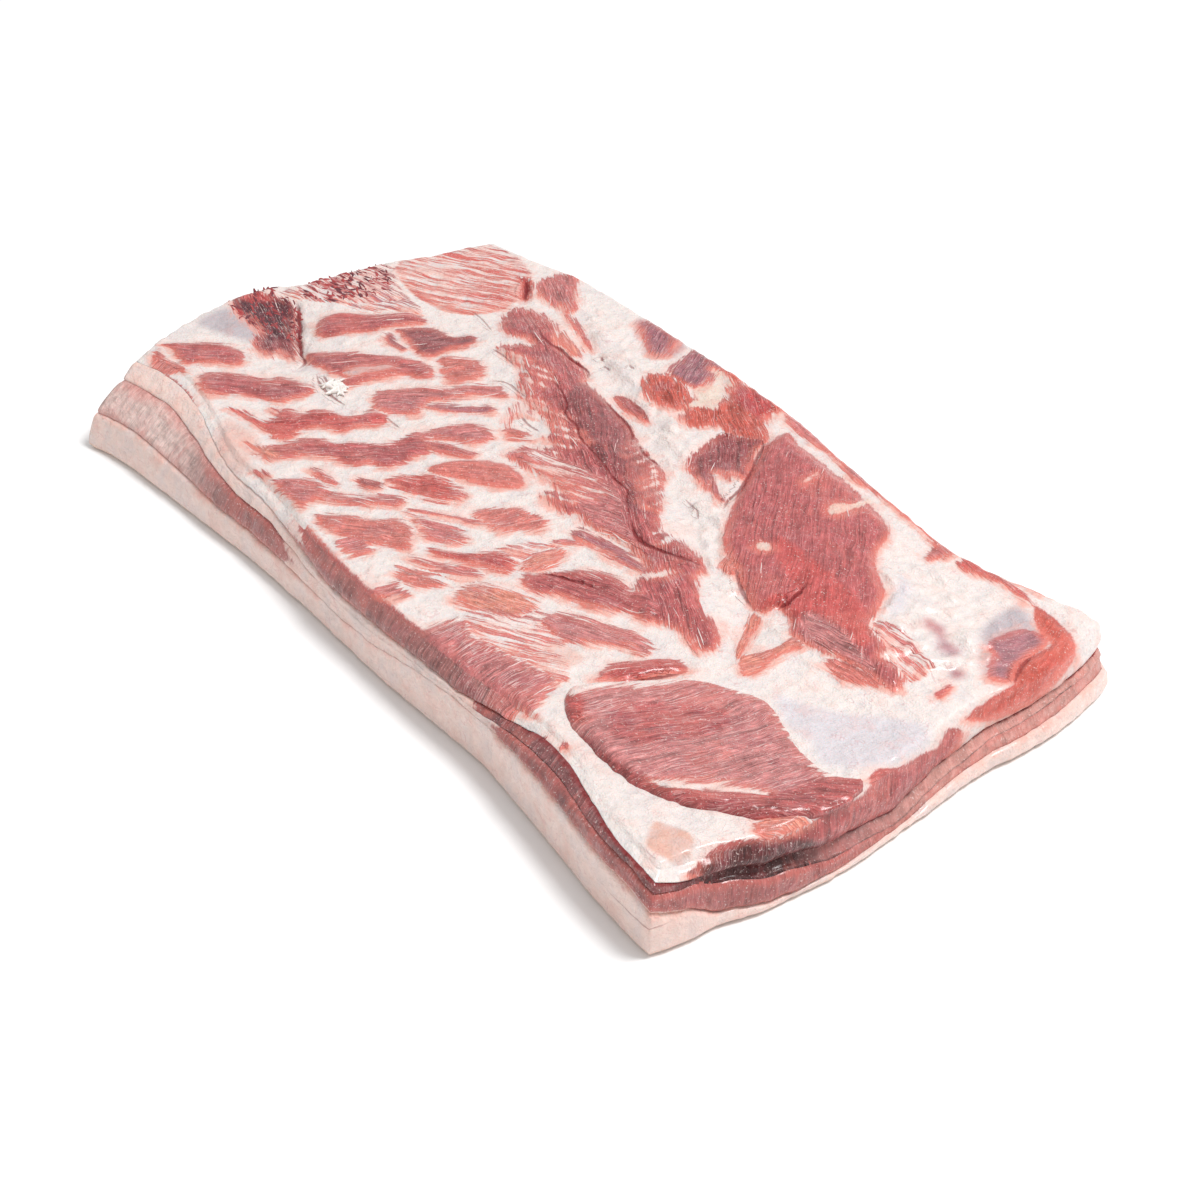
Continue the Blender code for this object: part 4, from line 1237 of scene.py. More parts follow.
def build_near_muscle():
    """The thick muscle near the corner, thick at its cut edge, thin at its far one."""
    columns, rings = 520, 60
    outline = smooth_curve(placed(NEAR_MUSCLE)[::-1], columns + 1, closed=True)[:-1]
    turn = np.linspace(0, 2 * np.pi, columns, endpoint=False)
    around = np.column_stack([np.cos(turn), np.sin(turn)])
    way = outline - MUSCLE_MIDDLE
    way /= np.linalg.norm(way, axis=1, keepdims=True)
    ragged = (0.8 * noise(around, 0.12, 71) + 0.4 * noise(around, 0.04, 72)) * MM
    outline = outline + way * ragged[:, None]
    low_y, high_y = outline[:, 1].min(), outline[:, 1].max()
    shares = 1 - np.linspace(0, 1, rings) ** 1.6 * 0.985
    flat = np.vstack([MUSCLE_MIDDLE + (outline - MUSCLE_MIDDLE) * share for share in shares])
    near, depth, _ = depth_in(flat, outline)
    deep = np.zeros(len(flat))
    deep[near] = np.maximum(depth, 0)
    across = np.clip((flat[:, 1] - low_y) / (high_y - low_y), 0, 1)
    thickness = sizes().muscle_thickness * (1 - 0.85 * smooth_step(across * 1.15))
    rounding = quarter(deep / sizes().muscle_round)
    crown = thickness * rounding + 0.6 * MM * (deep > 0)
    grain = math.radians(MUSCLE_GRAIN)
    c, s = math.cos(grain), math.sin(grain)
    fibre = np.column_stack([(flat[:, 0] * c + flat[:, 1] * s) / 6,
                             flat[:, 1] * c - flat[:, 0] * s])
    crown += rounding * (0.6 * noise(flat, 21 * MM, 73) + 0.4 * noise(flat, 8 * MM, 74)
                         + 0.6 * noise(fibre, 3.4 * MM, 75)
                         + 0.35 * noise(fibre, 1.8 * MM, 76)) * MM
    top = np.column_stack([flat, SLAB_HEIGHT - 0.8 * MM + crown])
    under = np.column_stack([flat[:columns], np.full(columns, SLAB_HEIGHT - 3 * MM)])
    points = np.vstack([under, top])
    faces = join_rings([ring * columns for ring in range(rings + 1)], columns)
    faces.append(list(range(columns))[::-1])
    faces.append(list(range(rings * columns, (rings + 1) * columns)))
    finish = Finish(len(points), depth=-6.0, lean="muscle", streak=1.6,
                    angle=MUSCLE_GRAIN)
    places = on_drawing(points)
    finish.draw(places, MUSCLE_REGIONS, [zone_outline(row[5]) for row in MUSCLE_REGIONS])
    return add_meat("near_muscle_cut", points, faces, meat_material("near_muscle_cut"),
                    finish, np.zeros(len(faces), bool), np.zeros(len(points)))


# ---------------------------------------------------------------- materials
def feed(tree, inputs, values):
    """Sets inputs to plain values, or links them from sockets."""
    for key, value in values.items():
        if isinstance(value, bpy.types.NodeSocket):
            tree.links.new(value, inputs[key])
        else:
            inputs[key].default_value = value


def add_node(tree, kind, inputs=None, **settings):
    made = tree.nodes.new(kind)
    for key, value in settings.items():
        setattr(made, key, value)
    feed(tree, made.inputs, inputs or {})
    return made


def maths(tree, operation, first, second=0.0):
    return add_node(tree, "ShaderNodeMath", {0: first, 1: second},
                    operation=operation).outputs[0]


def remap(tree, value, low, high, to_low=0.0, to_high=1.0, kind="SMOOTHSTEP"):
    return add_node(tree, "ShaderNodeMapRange",
                    {"Value": value, "From Min": low, "From Max": high,
                     "To Min": to_low, "To Max": to_high},
                    interpolation_type=kind).outputs["Result"]


def specks(tree, vector, often, detail=2.0, roughness=0.5, distortion=0.0):
    """Noise; often says how many specks to a unit, in all or along each axis."""
    often = often if isinstance(often, tuple) else (often,) * 3
    moved = add_node(tree, "ShaderNodeVectorMath", {0: vector, 1: often}, operation="MULTIPLY")
    return add_node(tree, "ShaderNodeTexNoise",
                    {"Vector": moved.outputs[0], "Scale": 1.0, "Detail": detail,
                     "Roughness": roughness, "Distortion": distortion}).outputs["Fac"]


def mix_colour(tree, share, first, second, blend="MIX"):
    return add_node(tree, "ShaderNodeMix", {0: share, 6: first, 7: second}, data_type="RGBA",
                    blend_type=blend, clamp_factor=True).outputs[2]


MEAT_TINTS = (("Strand And Glint Tint", "strand"), ("Rim Tint", "rim"), ("Shade Tint", "shade"),
              ("Stain Tint", "stain"), ("Vein Tint", "vein"), ("Fold Tint", "fold"),
              ("Cloud Tint", "cloud"))


def new_group(kind, name, inputs, outputs):
    """A node tree; inputs and outputs are lists of socket kinds and names."""
    tree = bpy.data.node_groups.new(name, kind)
    for in_out, rows in (("INPUT", inputs), ("OUTPUT", outputs)):
        for socket, keys in rows:
            for key in keys:
                tree.interface.new_socket(key, in_out=in_out, socket_type="NodeSocket" + socket)
    return tree, add_node(tree, "NodeGroupInput").outputs


def raw_meat_group():
    """Lean and fat with a frayed edge between them, fibres, strands and folds; glints painted as
    highlights, painted shade in the creases, grey patches of painted shade on the fat.
    """
    tree, given = new_group(
        "ShaderNodeTree", "Raw Meat",
        [("Color", ("Lean Tint", "Fat Tint", *(name for name, _ in MEAT_TINTS))),
         ("Float", ("Depth", "Streak", "Warm", "Crease", "Dark")),
         ("Vector", ("Grain", "Place"))],
        [("Color", ("Colour",)), ("Float", ("Roughness", "Height", "Wet"))])
    place = given["Place"]
    ramp, mix = functools.partial(remap, tree), functools.partial(mix_colour, tree)
    line = functools.partial(remap, tree, kind="LINEAR")
    noisy = functools.partial(specks, tree)
    plus, minus, times = (functools.partial(maths, tree, way)
                          for way in ("ADD", "SUBTRACT", "MULTIPLY"))
    # Fibres wander a few millimetres to each side.
    bend = add_node(tree, "ShaderNodeCombineXYZ",
                    {1: line(noisy(place, 32.0), 0.0, 1.0, -4.0, 4.0)}).outputs[0]
    grain = add_node(tree, "ShaderNodeVectorMath", {0: given["Grain"], 1: bend}).outputs[0]
    bundles = noisy(grain, (0.022, 0.3, 0.3), 2.0, 0.55)
    strands = noisy(grain, (0.055, 0.9, 0.9), 2.0, 0.6)
    fibres = noisy(grain, (0.14, 2.4, 2.4), 1.0, 0.5)
    patches = noisy(place, 75.0, 2.0, 0.55)
    drift = noisy(place, 34.0, 2.0, 0.55)
    blots = noisy(place, 230.0, 3.0, 0.6)
    grit = noisy(place, 850.0, 2.0, 0.6)

    def swing(source, reach):
        return times(minus(source, 0.5), reach)

    def toned(colour, tone):
        grey = add_node(tree, "ShaderNodeCombineColor", {0: tone, 1: tone, 2: tone})
        return mix(1.0, colour, grey.outputs[0], "MULTIPLY")

    # Border: frayed along the fibres, by the streak's length.
    frayed = plus(swing(bundles, 5.5), swing(strands, 5.0))
    edge = plus(given["Depth"], times(frayed, given["Streak"]))
    edge = plus(edge, swing(blots, 3.0))
    lean = ramp(edge, -1.0, 0.8)
    warm = ramp(given["Warm"], -0.5, 0.6)
    cool = ramp(given["Warm"], 0.1, -0.6)

    # Lean: darker and lighter by fibre and patch, least where its streak is short.
    tone = line(fibres, 0.3, 0.7, 0.84, 1.18)
    tone = times(tone, line(strands, 0.3, 0.7, 0.7, 1.32))
    tone = times(tone, line(bundles, 0.3, 0.7, 0.7, 1.3))
    calm = line(given["Streak"], 0.0, 0.8, 0.2, 1.0)
    tone = plus(times(minus(tone, 1.0), calm), 0.92)
    tone = times(tone, line(patches, 0.3, 0.7, 0.82, 1.18))
    tone = times(tone, line(blots, 0.3, 0.7, 0.82, 1.2))
    lean_colour = toned(given["Lean Tint"], tone)
    core = times(ramp(plus(patches, swing(bundles, 0.6)), 0.48, 0.64), times(calm, 0.5))
    lean_colour = mix(core, lean_colour, given["Shade Tint"])
    glow = times(ramp(plus(drift, swing(bundles, 0.4)), 0.54, 0.7), 0.3)
    lean_colour = mix(glow, lean_colour, given["Rim Tint"])
    flush = plus(edge, swing(patches, -9.0))
    flush = times(ramp(flush, 0.0, 6.5, 0.95, 0.0), line(warm, 0.0, 1.0, 0.45, 1.0))
    lean_colour = mix(flush, lean_colour, given["Rim Tint"])
    shaded = times(ramp(edge, 0.0, 3.4, 0.3, 0.0), cool)
    lean_colour = mix(shaded, lean_colour, given["Shade Tint"])
    often = plus(times(given["Streak"], 0.16), 0.06)
    flecks = plus(plus(fibres, swing(strands, 0.7)), swing(patches, 0.5))
    pale = times(ramp(flecks, 0.6, 0.7), times(often, calm))
    lean_colour = mix(pale, lean_colour, given["Strand And Glint Tint"])
    # Painted highlight: tiny pale glints of wet shine scattered over the lean.
    glints = times(ramp(grit, 0.62, 0.69), 0.55)
    lean_colour = mix(glints, lean_colour, given["Strand And Glint Tint"])

    # Fat: flushed beside the lean, clouded with grey patches of painted shade laid at random, with
    # thin veins.
    stain = plus(edge, plus(swing(blots, 5.0), swing(patches, 9.0)))
    stain = ramp(stain, -6.0, 0.0, 0.0, 0.8)
    stain = times(stain, line(warm, 0.0, 1.0, 0.35, 1.0))
    fat_colour = mix(stain, given["Fat Tint"], given["Stain Tint"])
    clear = times(ramp(patches, 0.5, 0.7), 0.2)
    fat_colour = mix(clear, fat_colour, given["Stain Tint"])
    cloud = times(ramp(patches, 0.52, 0.34), 0.28)
    fat_colour = mix(cloud, fat_colour, given["Cloud Tint"])
    veins = maths(tree, "ABSOLUTE", minus(noisy(place, 48.0, 3.0, 0.6, 0.6), 0.5))
    veins = times(ramp(veins, 0.002, 0.012, 0.3, 0.0), ramp(blots, 0.42, 0.58))
    fat_colour = mix(veins, fat_colour, given["Vein Tint"])
    fat_colour = toned(fat_colour, times(line(grit, 0.3, 0.7, 0.95, 1.03),
                                         line(blots, 0.3, 0.7, 0.91, 1.01)))
    colour = mix(lean, fat_colour, lean_colour)

    # Painted shade in the creases: dark red laid along them, partly their own colour, partly
    # standing for the shade that falls in them.
    fold = plus(maths(tree, "ABSOLUTE", given["Crease"]), swing(blots, 1.8))
    fold = times(ramp(fold, 0.25, 1.3, 1.0, 0.0), given["Dark"])
    colour = mix(times(fold, 0.95), colour, given["Fold Tint"])

    # Surface: wet blots, and ridges along the fibres of the lean.
    roughness = plus(line(grit, 0.3, 0.7, 0.28, 0.46), times(fold, 0.3))
    wet = line(blots, 0.35, 0.65, 0.2, 0.8)
    ridges = plus(swing(strands, 1.1), swing(fibres, 0.3))
    soft = plus(times(grit, 0.35), times(blots, 0.8))
    ridges = times(times(plus(ridges, swing(bundles, 1.4)), calm),
                   line(lean, 0.0, 1.0, 0.1, 1.0))
    height = minus(plus(plus(ridges, soft), times(patches, 1.6)), times(fold, 0.4))
    add_node(tree, "NodeGroupOutput", {"Colour": colour, "Roughness": roughness,
                                       "Height": height, "Wet": wet})
    return tree


def rind_group():
    """Skin of the underside: pores, and a mask that is 1 on it."""
    tree, given = new_group("ShaderNodeTree", "Rind",
                            [("Vector", ("Place",)), ("Float", ("Rind Height",))],
                            [("Float", ("Mask", "Pores"))])
    height = add_node(tree, "ShaderNodeSeparateXYZ", {0: given["Place"]}).outputs["Z"]
    wander = maths(tree, "SUBTRACT", specks(tree, given["Place"], 60.0), 0.5)
    wander = maths(tree, "MULTIPLY", wander, 3 * MM)
    above = maths(tree, "SUBTRACT", maths(tree, "ADD", height, wander), given["Rind Height"])
    cells = add_node(tree, "ShaderNodeTexVoronoi", {"Vector": given["Place"], "Scale": 420.0},
                     feature="F1")
    add_node(tree, "NodeGroupOutput",
             {"Mask": remap(tree, above, -0.6 * MM, 0.6 * MM, 1.0, 0.0),
              "Pores": remap(tree, cells.outputs["Distance"], 0.05, 0.35)})
    return tree


def shared_group(name, build):
    return bpy.data.node_groups.get(name) or build()


def attribute(tree, name, output):
    return add_node(tree, "ShaderNodeAttribute", attribute_name=name).outputs[output]


def new_material(name):
    """A material, its node tree and its shader's inputs."""
    material = bpy.data.materials.new(name)
    material.use_nodes = True
    tree = material.node_tree
    return material, tree, tree.nodes["Principled BSDF"].inputs


def meat_material(name, rind=False):
    """A finish that reads the piece's lean, fat, grain and folds."""
    material, tree, shader = new_material(name)
    place = add_node(tree, "ShaderNodeTexCoord").outputs["Object"]
    read = {key.replace("_", " ").title(): attribute(tree, key, output)
            for output, keys in (("Vector", ("lean_tint", "fat_tint", "grain")),
                                 ("Fac", ("depth", "streak", "warm", "crease", "dark")))
            for key in keys}
    tints = {socket: rgba(key) for socket, key in MEAT_TINTS}
    meat = add_node(tree, "ShaderNodeGroup", {**read, **tints, "Place": place},
                    node_tree=shared_group("Raw Meat", raw_meat_group)).outputs
    colour, height = meat["Colour"], meat["Height"]
    if rind:
        skin = add_node(tree, "ShaderNodeGroup",
                        {"Place": place, "Rind Height": sizes().rind_height},
                        node_tree=shared_group("Rind", rind_group)).outputs
        colour = mix_colour(tree, maths(tree, "MULTIPLY", skin["Mask"], 0.7),
                            colour, rgba("rind"))
        pores = maths(tree, "MULTIPLY", skin["Pores"], skin["Mask"])
        height = maths(tree, "ADD", height, maths(tree, "MULTIPLY", pores, 0.12))
    bump = add_node(tree, "ShaderNodeBump", {"Strength": 1.0, "Distance": 1.5 * MM,
                                             "Height": height})
    feed(tree, shader,
         {"Base Color": colour, "Roughness": meat["Roughness"],
          "Coat Weight": meat["Wet"], "Normal": bump.outputs["Normal"],
          "Coat Roughness": 0.18, "IOR": 1.4, "Specular IOR Level": 0.5,
          "Subsurface Weight": 0.12, "Subsurface Radius": (1.0, 0.35, 0.25),
          "Subsurface Scale": 2.5 * MM})
    return material


def mixed_material(name, tints, roughness):
    """Two colours mixed by piece and by blots, with a wet coat."""
    material, tree, shader = new_material(name)
    place = add_node(tree, "ShaderNodeTexCoord").outputs["Object"]
    blots = specks(tree, place, 300.0, 3.0, 0.6)
    share = maths(tree, "ADD", maths(tree, "MULTIPLY", attribute(tree, "tone", "Fac"), 0.7),
                  maths(tree, "MULTIPLY", blots, 0.6))
    bump = add_node(tree, "ShaderNodeBump", {"Strength": 0.7, "Distance": 1.0 * MM,
                                             "Height": blots})
    feed(tree, shader,
         {"Base Color": mix_colour(tree, remap(tree, share, 0.3, 0.95), *map(rgba, tints)),
          "Roughness": remap(tree, blots, 0.3, 0.7, roughness, roughness + 0.2),
          "Normal": bump.outputs["Normal"], "IOR": 1.4, "Coat Weight": 0.4,
          "Coat Roughness": 0.2, "Subsurface Weight": 0.1,
          "Subsurface Radius": (1.0, 0.35, 0.25), "Subsurface Scale": 2 * MM})
    return material


# ---------------------------------------------------------------- geometry nodes
def random_share(tree, low, high, seed):
    """A random number for each point, with its own fixed seed."""
    return add_node(tree, "FunctionNodeRandomValue", {2: low, 3: high, 8: seed},
                    data_type="FLOAT").outputs[1]


def named_attribute(tree, name, kind="FLOAT"):
    return add_node(tree, "GeometryNodeInputNamedAttribute", {"Name": name},
                    data_type=kind).outputs["Attribute"]


def scatter_tree():
    """Strands or lumps laid over a surface: long ones follow its "way" and its height.

    A spindle stands at points chosen by the surface's "amount". Once real, each of its
    vertices is dropped on the surface and raised by its own height.
    """
    tree, given = new_group(
        "GeometryNodeTree", "Surface Scatter",
        [("Geometry", ("Geometry",)),
         ("Float", ("Density", "Length", "Width", "Height", "Spread", "Wobble", "Rise")),
         ("Int", ("Seed",)), ("Material", ("Material",))],
        [("Geometry", ("Geometry",))])
    node, plus, times = (functools.partial(add_node, tree),
                         functools.partial(maths, tree, "ADD"),
                         functools.partial(maths, tree, "MULTIPLY"))
    named = functools.partial(named_attribute, tree)

    def keep(geometry, name, value, domain="INSTANCE"):
        return node("GeometryNodeStoreNamedAttribute",
                    {"Geometry": geometry, "Name": name, "Value": value},
                    data_type="FLOAT", domain=domain).outputs[0]

    points = node("GeometryNodeDistributePointsOnFaces",
                  {"Mesh": given["Geometry"], "Density": times(named("amount"), given["Density"]),
                   "Seed": given["Seed"]}, distribute_method="RANDOM")
    spindle = node("GeometryNodeMeshUVSphere", {"Segments": 6, "Rings": 6, "Radius": 0.5})
    laid = node("GeometryNodeTransform",
                {"Geometry": spindle.outputs["Mesh"], "Rotation": (0, math.pi / 2, 0)})
    where = node("GeometryNodeInputPosition").outputs[0]
    high = node("ShaderNodeSeparateXYZ", {0: where}).outputs["Z"]
    shape = keep(laid.outputs[0], "lift", high, "POINT")
    turned = node("FunctionNodeAlignRotationToVector",
                  {"Vector": named("way", "FLOAT_VECTOR")}, axis="X")
    astray = times(random_share(tree, -1.0, 1.0, 11), given["Spread"])
    swung = node("ShaderNodeCombineXYZ", {2: astray})
    as_turn = node("FunctionNodeEulerToRotation", {0: swung.outputs[0]})
    turned = node("FunctionNodeRotateRotation", {0: turned.outputs[0], 1: as_turn.outputs[0]},
                  rotation_space="GLOBAL")
    size = random_share(tree, 0.45, 1.0, 12)
    scale = node("ShaderNodeCombineXYZ",
                 {0: times(given["Length"], times(size, size)),
                  1: times(given["Width"], size), 2: given["Height"]})
    spindles = node("GeometryNodeInstanceOnPoints",
                    {"Points": points.outputs["Points"], "Instance": shape,
                     "Rotation": turned.outputs[0], "Scale": scale.outputs[0]})
    sized = keep(spindles.outputs[0], "size", size)
    toned = keep(sized, "tone", random_share(tree, 0.0, 1.0, 13))
    real = node("GeometryNodeRealizeInstances", {0: toned})
    wave = node("ShaderNodeTexNoise", {"Vector": where, "Scale": 110.0, "Detail": 1.0})
    wave = node("ShaderNodeVectorMath", {0: wave.outputs["Color"], 1: (0.5, 0.5, 0.5)},
                operation="SUBTRACT")
    wave = node("ShaderNodeVectorMath", {0: wave.outputs[0], "Scale": given["Wobble"]},
                operation="SCALE")
    moved = node("ShaderNodeVectorMath", {0: where, 1: wave.outputs[0]})
    parts = node("ShaderNodeSeparateXYZ", {0: moved.outputs[0]}).outputs
    above = node("ShaderNodeCombineXYZ", {0: parts["X"], 1: parts["Y"], 2: 0.2})
    drop = node("GeometryNodeRaycast",
                {"Target Geometry": given["Geometry"], "Source Position": above.outputs[0],
                 "Ray Direction": (0, 0, -1), "Ray Length": 0.4}, data_type="FLOAT")
    ground = node("ShaderNodeSeparateXYZ", {0: drop.outputs["Hit Position"]}).outputs["Z"]
    lift = plus(times(named("lift"), times(given["Height"], named("size"))), given["Rise"])
    rested = node("ShaderNodeCombineXYZ", {0: parts["X"], 1: parts["Y"], 2: plus(ground, lift)})
    shaped = node("GeometryNodeSetPosition",
                  {"Geometry": real.outputs[0], "Selection": drop.outputs["Is Hit"],
                   "Position": rested.outputs[0]})
    smooth = node("GeometryNodeSetShadeSmooth", {"Geometry": shaped.outputs[0]})
    finished = node("GeometryNodeSetMaterial",
                    {"Geometry": smooth.outputs[0], "Material": given["Material"]})
    node("NodeGroupOutput", {"Geometry": finished.outputs[0]})
    return tree


def scatter(name, amount, material, values):
    """A plain mesh of spindles over the rib side, where amount (0 to 1) allows."""
    host = bpy.data.objects["rib_side_sheet"].data
    store(host, "amount", amount)
    carrier = bpy.data.objects.new(name, host)
    bpy.context.scene.collection.objects.link(carrier)
    modifier = carrier.modifiers.new("Surface Scatter", "NODES")
    modifier.node_group = bpy.data.node_groups.get("Surface Scatter") or scatter_tree()
    keys = {item.name: item.identifier for item in modifier.node_group.interface.items_tree
            if item.in_out == "INPUT"}
    for key, value in {**values, "Material": material}.items():
        modifier[keys[key]] = value
    bpy.context.view_layer.update()
    seen = carrier.evaluated_get(bpy.context.evaluated_depsgraph_get())
    mesh = bpy.data.meshes.new_from_object(seen)
    bpy.data.objects.remove(carrier)
    host.attributes.remove(host.attributes["amount"])
    for extra in [a.name for a in mesh.attributes if not a.is_required and not a.is_internal]:
        if extra not in ("tone", "sharp_face", "material_index"):
            mesh.attributes.remove(mesh.attributes[extra])
    return add_piece(name, mesh, material)


# ---------------------------------------------------------------- settings
def length(name, description, default, high):
    return bpy.props.FloatProperty(name=name, description=description, default=default * MM,
                                   min=0.0, max=high * MM, precision=5, unit="LENGTH")


def share(name, description):
    return bpy.props.FloatProperty(name=name, description=description, default=1.0,
                                   min=0.0, max=2.0, subtype="FACTOR")


class BellySizes(bpy.types.PropertyGroup):
    """Sizes that shape the slab's pieces."""

    rim_round: length("Rim Rounding", "Rounding of the rib side's edge", 4.0, 8.0)
    foot_round: length("Foot Rounding", "Rounding of the skin's edge under the slab", 4.0, 8.0)
    ragged_edge: length("Ragged Edge", "How ragged the slab's outline is", 0.9, 4.0)
    rind_height: length("Skin Thickness", "Height of the skin's upper edge", 2.6, 6.0)
    muscle_thickness: length("Muscle Thickness", "Thickness of the near muscle", 8.0, 12.0)
    muscle_round: length("Muscle Rounding", "Rounding of the near muscle's edge", 7.0, 15.0)
    fibre_lift: length("Fibre Relief", "Height of the fibres on the lean", 0.45, 2.0)
    finger_lift: share("Finger Lift", "Share of the full height of the lean fingers")
    crease_depth: share("Crease Depth", "Share of the full depth of the creases")


class BellyColours(bpy.types.PropertyGroup):
    """Colours of the lean, the fat and the skin."""

    __annotations__ = {
        key: bpy.props.FloatVectorProperty(
            name=key.title(), description="Colour of the " + use,
            default=tuple(linear(seen)), subtype="COLOR", size=3, min=0.0, max=1.0)
        for key, (seen, use) in TINTS.items()
    }


class BellyDetails(bpy.types.PropertyGroup):
    """Sizes and numbers of the strands and shreds."""

    strand_density: bpy.props.FloatProperty(
        name="Strand Density", description="Strands to a square metre of lean",
        default=11000.0, min=0.0, max=80000.0)
    strand_length: length("Strand Length", "Longest fascia strand", 19.0, 40.0)
    strand_width: length("Strand Width", "Widest fascia strand", 0.8, 4.0)
    shred_length: length("Shred Length", "Longest torn shred", 9.0, 40.0)
    seed: bpy.props.IntProperty(name="Seed", description="Seed of the scattered pieces",
                                default=7, min=0, max=999)


class BellyStage(bpy.types.PropertyGroup):
    """Sizes of the floor and strengths of the light."""

    floor_size: bpy.props.FloatProperty(name="Floor Size", description="Width of the floor",
                                        default=14.0, min=1.0, max=40.0, unit="LENGTH")
    lamp_power: bpy.props.FloatProperty(name="Lamp Power", description="Watts of the lamp",
                                        default=86.0, min=0.0, max=900.0)
    sky: bpy.props.FloatProperty(name="Room Light", description="Strength of the room's light",
                                 default=0.62, min=0.0, max=4.0)


# ---------------------------------------------------------------- operators
def settle(piece, node=None):
    """Lets a piece ride on the slab, and hides the plain solid that it stands for."""
    if node:
        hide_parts(node)
    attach(piece, "root")
    return {"FINISHED"}


class AddFatCap(bpy.types.Operator):
    """Back fat with the skin under it"""

    bl_idname = "belly.fat_cap"
    bl_label = "Fat Cap"

    def execute(self, context):
        piece = build_inner_layer("skin_and_back_fat", FAT_CAP, paint_fat_cap)
        piece.data.materials[0] = meat_material("skin_and_back_fat_rind", rind=True)
        return settle(piece, "fat_cap")


class AddLowerLean(bpy.types.Operator):
    """Sheet of lean over the back fat"""

    bl_idname = "belly.lower_lean"
    bl_label = "Lower Lean"

    def execute(self, context):
        return settle(build_inner_layer("lower_lean_sheet", LOWER_LEAN, paint_lower_lean),
                      "lower_lean")


class AddSeamFat(bpy.types.Operator):
    """Sheet of fat between the two leans, dark lean with painted shade in the deep gap at the near
    end
    """

    bl_idname = "belly.seam_fat"
    bl_label = "Seam Fat"

    def execute(self, context):
        return settle(build_inner_layer("seam_fat_sheet", SEAM_FAT, paint_seam_fat),
                      "seam_fat")


class AddRibSide(bpy.types.Operator):
    """Upper sheet, with its fingers of lean, its fat and its creases"""

    bl_idname = "belly.rib_side"
    bl_label = "Rib Side"

    def execute(self, context):
        return settle(build_rib_side(), "rib_side_meat")


class AddNearMuscle(bpy.types.Operator):
    """Thick muscle near the corner, with its cut edge"""

    bl_idname = "belly.near_muscle"
    bl_label = "Near Muscle"

    def execute(self, context):
        return settle(build_near_muscle(), "near_muscle")


def rib_face():
    """The rib side's vertices with how level each is, and its attributes by name."""
    mesh = bpy.data.objects["rib_side_sheet"].data
    return (read_all(mesh.vertices, "co", 3).astype(float),
            read_all(mesh.vertices, "normal", 3)[:, 2],
            lambda name: read_all(mesh.attributes[name].data, "value"))


def strand_amount():
    """Where strands may lie: on the lean of the level face, more near its edges."""
    points, upright, attribute_of = rib_face()
    depth = attribute_of("depth")
    near_edge = smooth_step((depth + 1.5) / 1.5) * np.exp(-np.maximum(depth, 0) / 5)
    uv, _ = top_net()
    inside = np.zeros(len(points))
    inside[:len(uv)] = smooth_step(border_distance(uv[:, 0], uv[:, 1]) / (10 * MM) - 1)
    often = np.clip(attribute_of("streak") / 2.0, 0.3, 1.0)
    return inside * (upright > 0.75) * near_edge * often


# Places of torn lean and the loose tuft, in millimetres on the drawing plane.
SHRED_ZONES = [
    [(-307, -21), (-313, -5), (-306, 9), (-282, 14), (-260, 6), (-237, -12), (-240, -18),
     (-267, -25), (-289, -24)],
    [(-288, 22), (-291, 47), (-287, 78), (-276, 80), (-254, 72), (-253, 53), (-264, 31),
     (-272, 19)],
]
TUFT_ZONES = [[(-186, -26), (-184, -19), (-177, -18), (-173, -25), (-179, -29)]]


def zone_amount(zones):
    """1 inside the zones of the rib side's level face, 0 elsewhere."""
    points, upright, _ = rib_face()
    flat = on_drawing(points)
    amount = np.zeros(len(points))
    for zone in zones:
        near, depth, _ = depth_in(flat, zone_outline(zone))
        amount[near] = np.maximum(amount[near], smooth_step(depth / (3 * MM) + 0.3))
    return amount * (upright > 0.3) * (points[:, 2] > 25 * MM)


class AddStrands(bpy.types.Operator):
    """Thin pale fascia strands along the fibres of the lean"""

    bl_idname = "belly.strands"
    bl_label = "Fascia Strands"

    def execute(self, context):
        details = context.scene.belly_details
        piece = scatter("fascia_strands", strand_amount(),
                        mixed_material("fascia_strand", ("rose", "strand"), 0.3),
                        {"Density": details.strand_density, "Length": details.strand_length,
                         "Width": details.strand_width, "Height": 0.9 * MM, "Spread": 0.22,
                         "Wobble": 1.6 * MM, "Rise": -0.12 * MM, "Seed": details.seed})
        return settle(piece)


class AddShreds(bpy.types.Operator):
    """Torn shreds of lean at the far end"""

    bl_idname = "belly.shreds"
    bl_label = "Torn Shreds"

    def execute(self, context):
        details = context.scene.belly_details
        piece = scatter("torn_shreds", zone_amount(SHRED_ZONES),
                        mixed_material("torn_lean", ("torn", "shred"), 0.3),
                        {"Density": 110000.0, "Length": details.shred_length, "Width": 2.4 * MM,
                         "Height": 3.4 * MM, "Spread": 0.8, "Wobble": 7 * MM,
                         "Rise": -0.9 * MM, "Seed": details.seed + 1})
        return settle(piece)


class AddTuft(bpy.types.Operator):
    """Loose tuft of white fascia among the rib fingers"""

    bl_idname = "belly.tuft"
    bl_label = "Fascia Tuft"

    def execute(self, context):
        piece = scatter("fascia_tuft", zone_amount(TUFT_ZONES),
                        mixed_material("fascia_tuft", ("white", "bone"), 0.35),
                        {"Density": 260000.0, "Length": 17 * MM, "Width": 2.6 * MM,
                         "Height": 3.0 * MM, "Spread": 3.1, "Wobble": 5 * MM,
                         "Rise": 1.0 * MM, "Seed": context.scene.belly_details.seed + 3})
        return settle(piece)


# The floor lies just under the slab, so that the two never share a plane.
FLOOR_HEIGHT = -0.4 * MM
LAMP_PLACE = (1.05, 0.95, 3.05)
LAMP_SIZE = 1.2
CAMERA_TARGET = (0.0492, -0.00823, 0.0)
CAMERA_LENS = 76.72


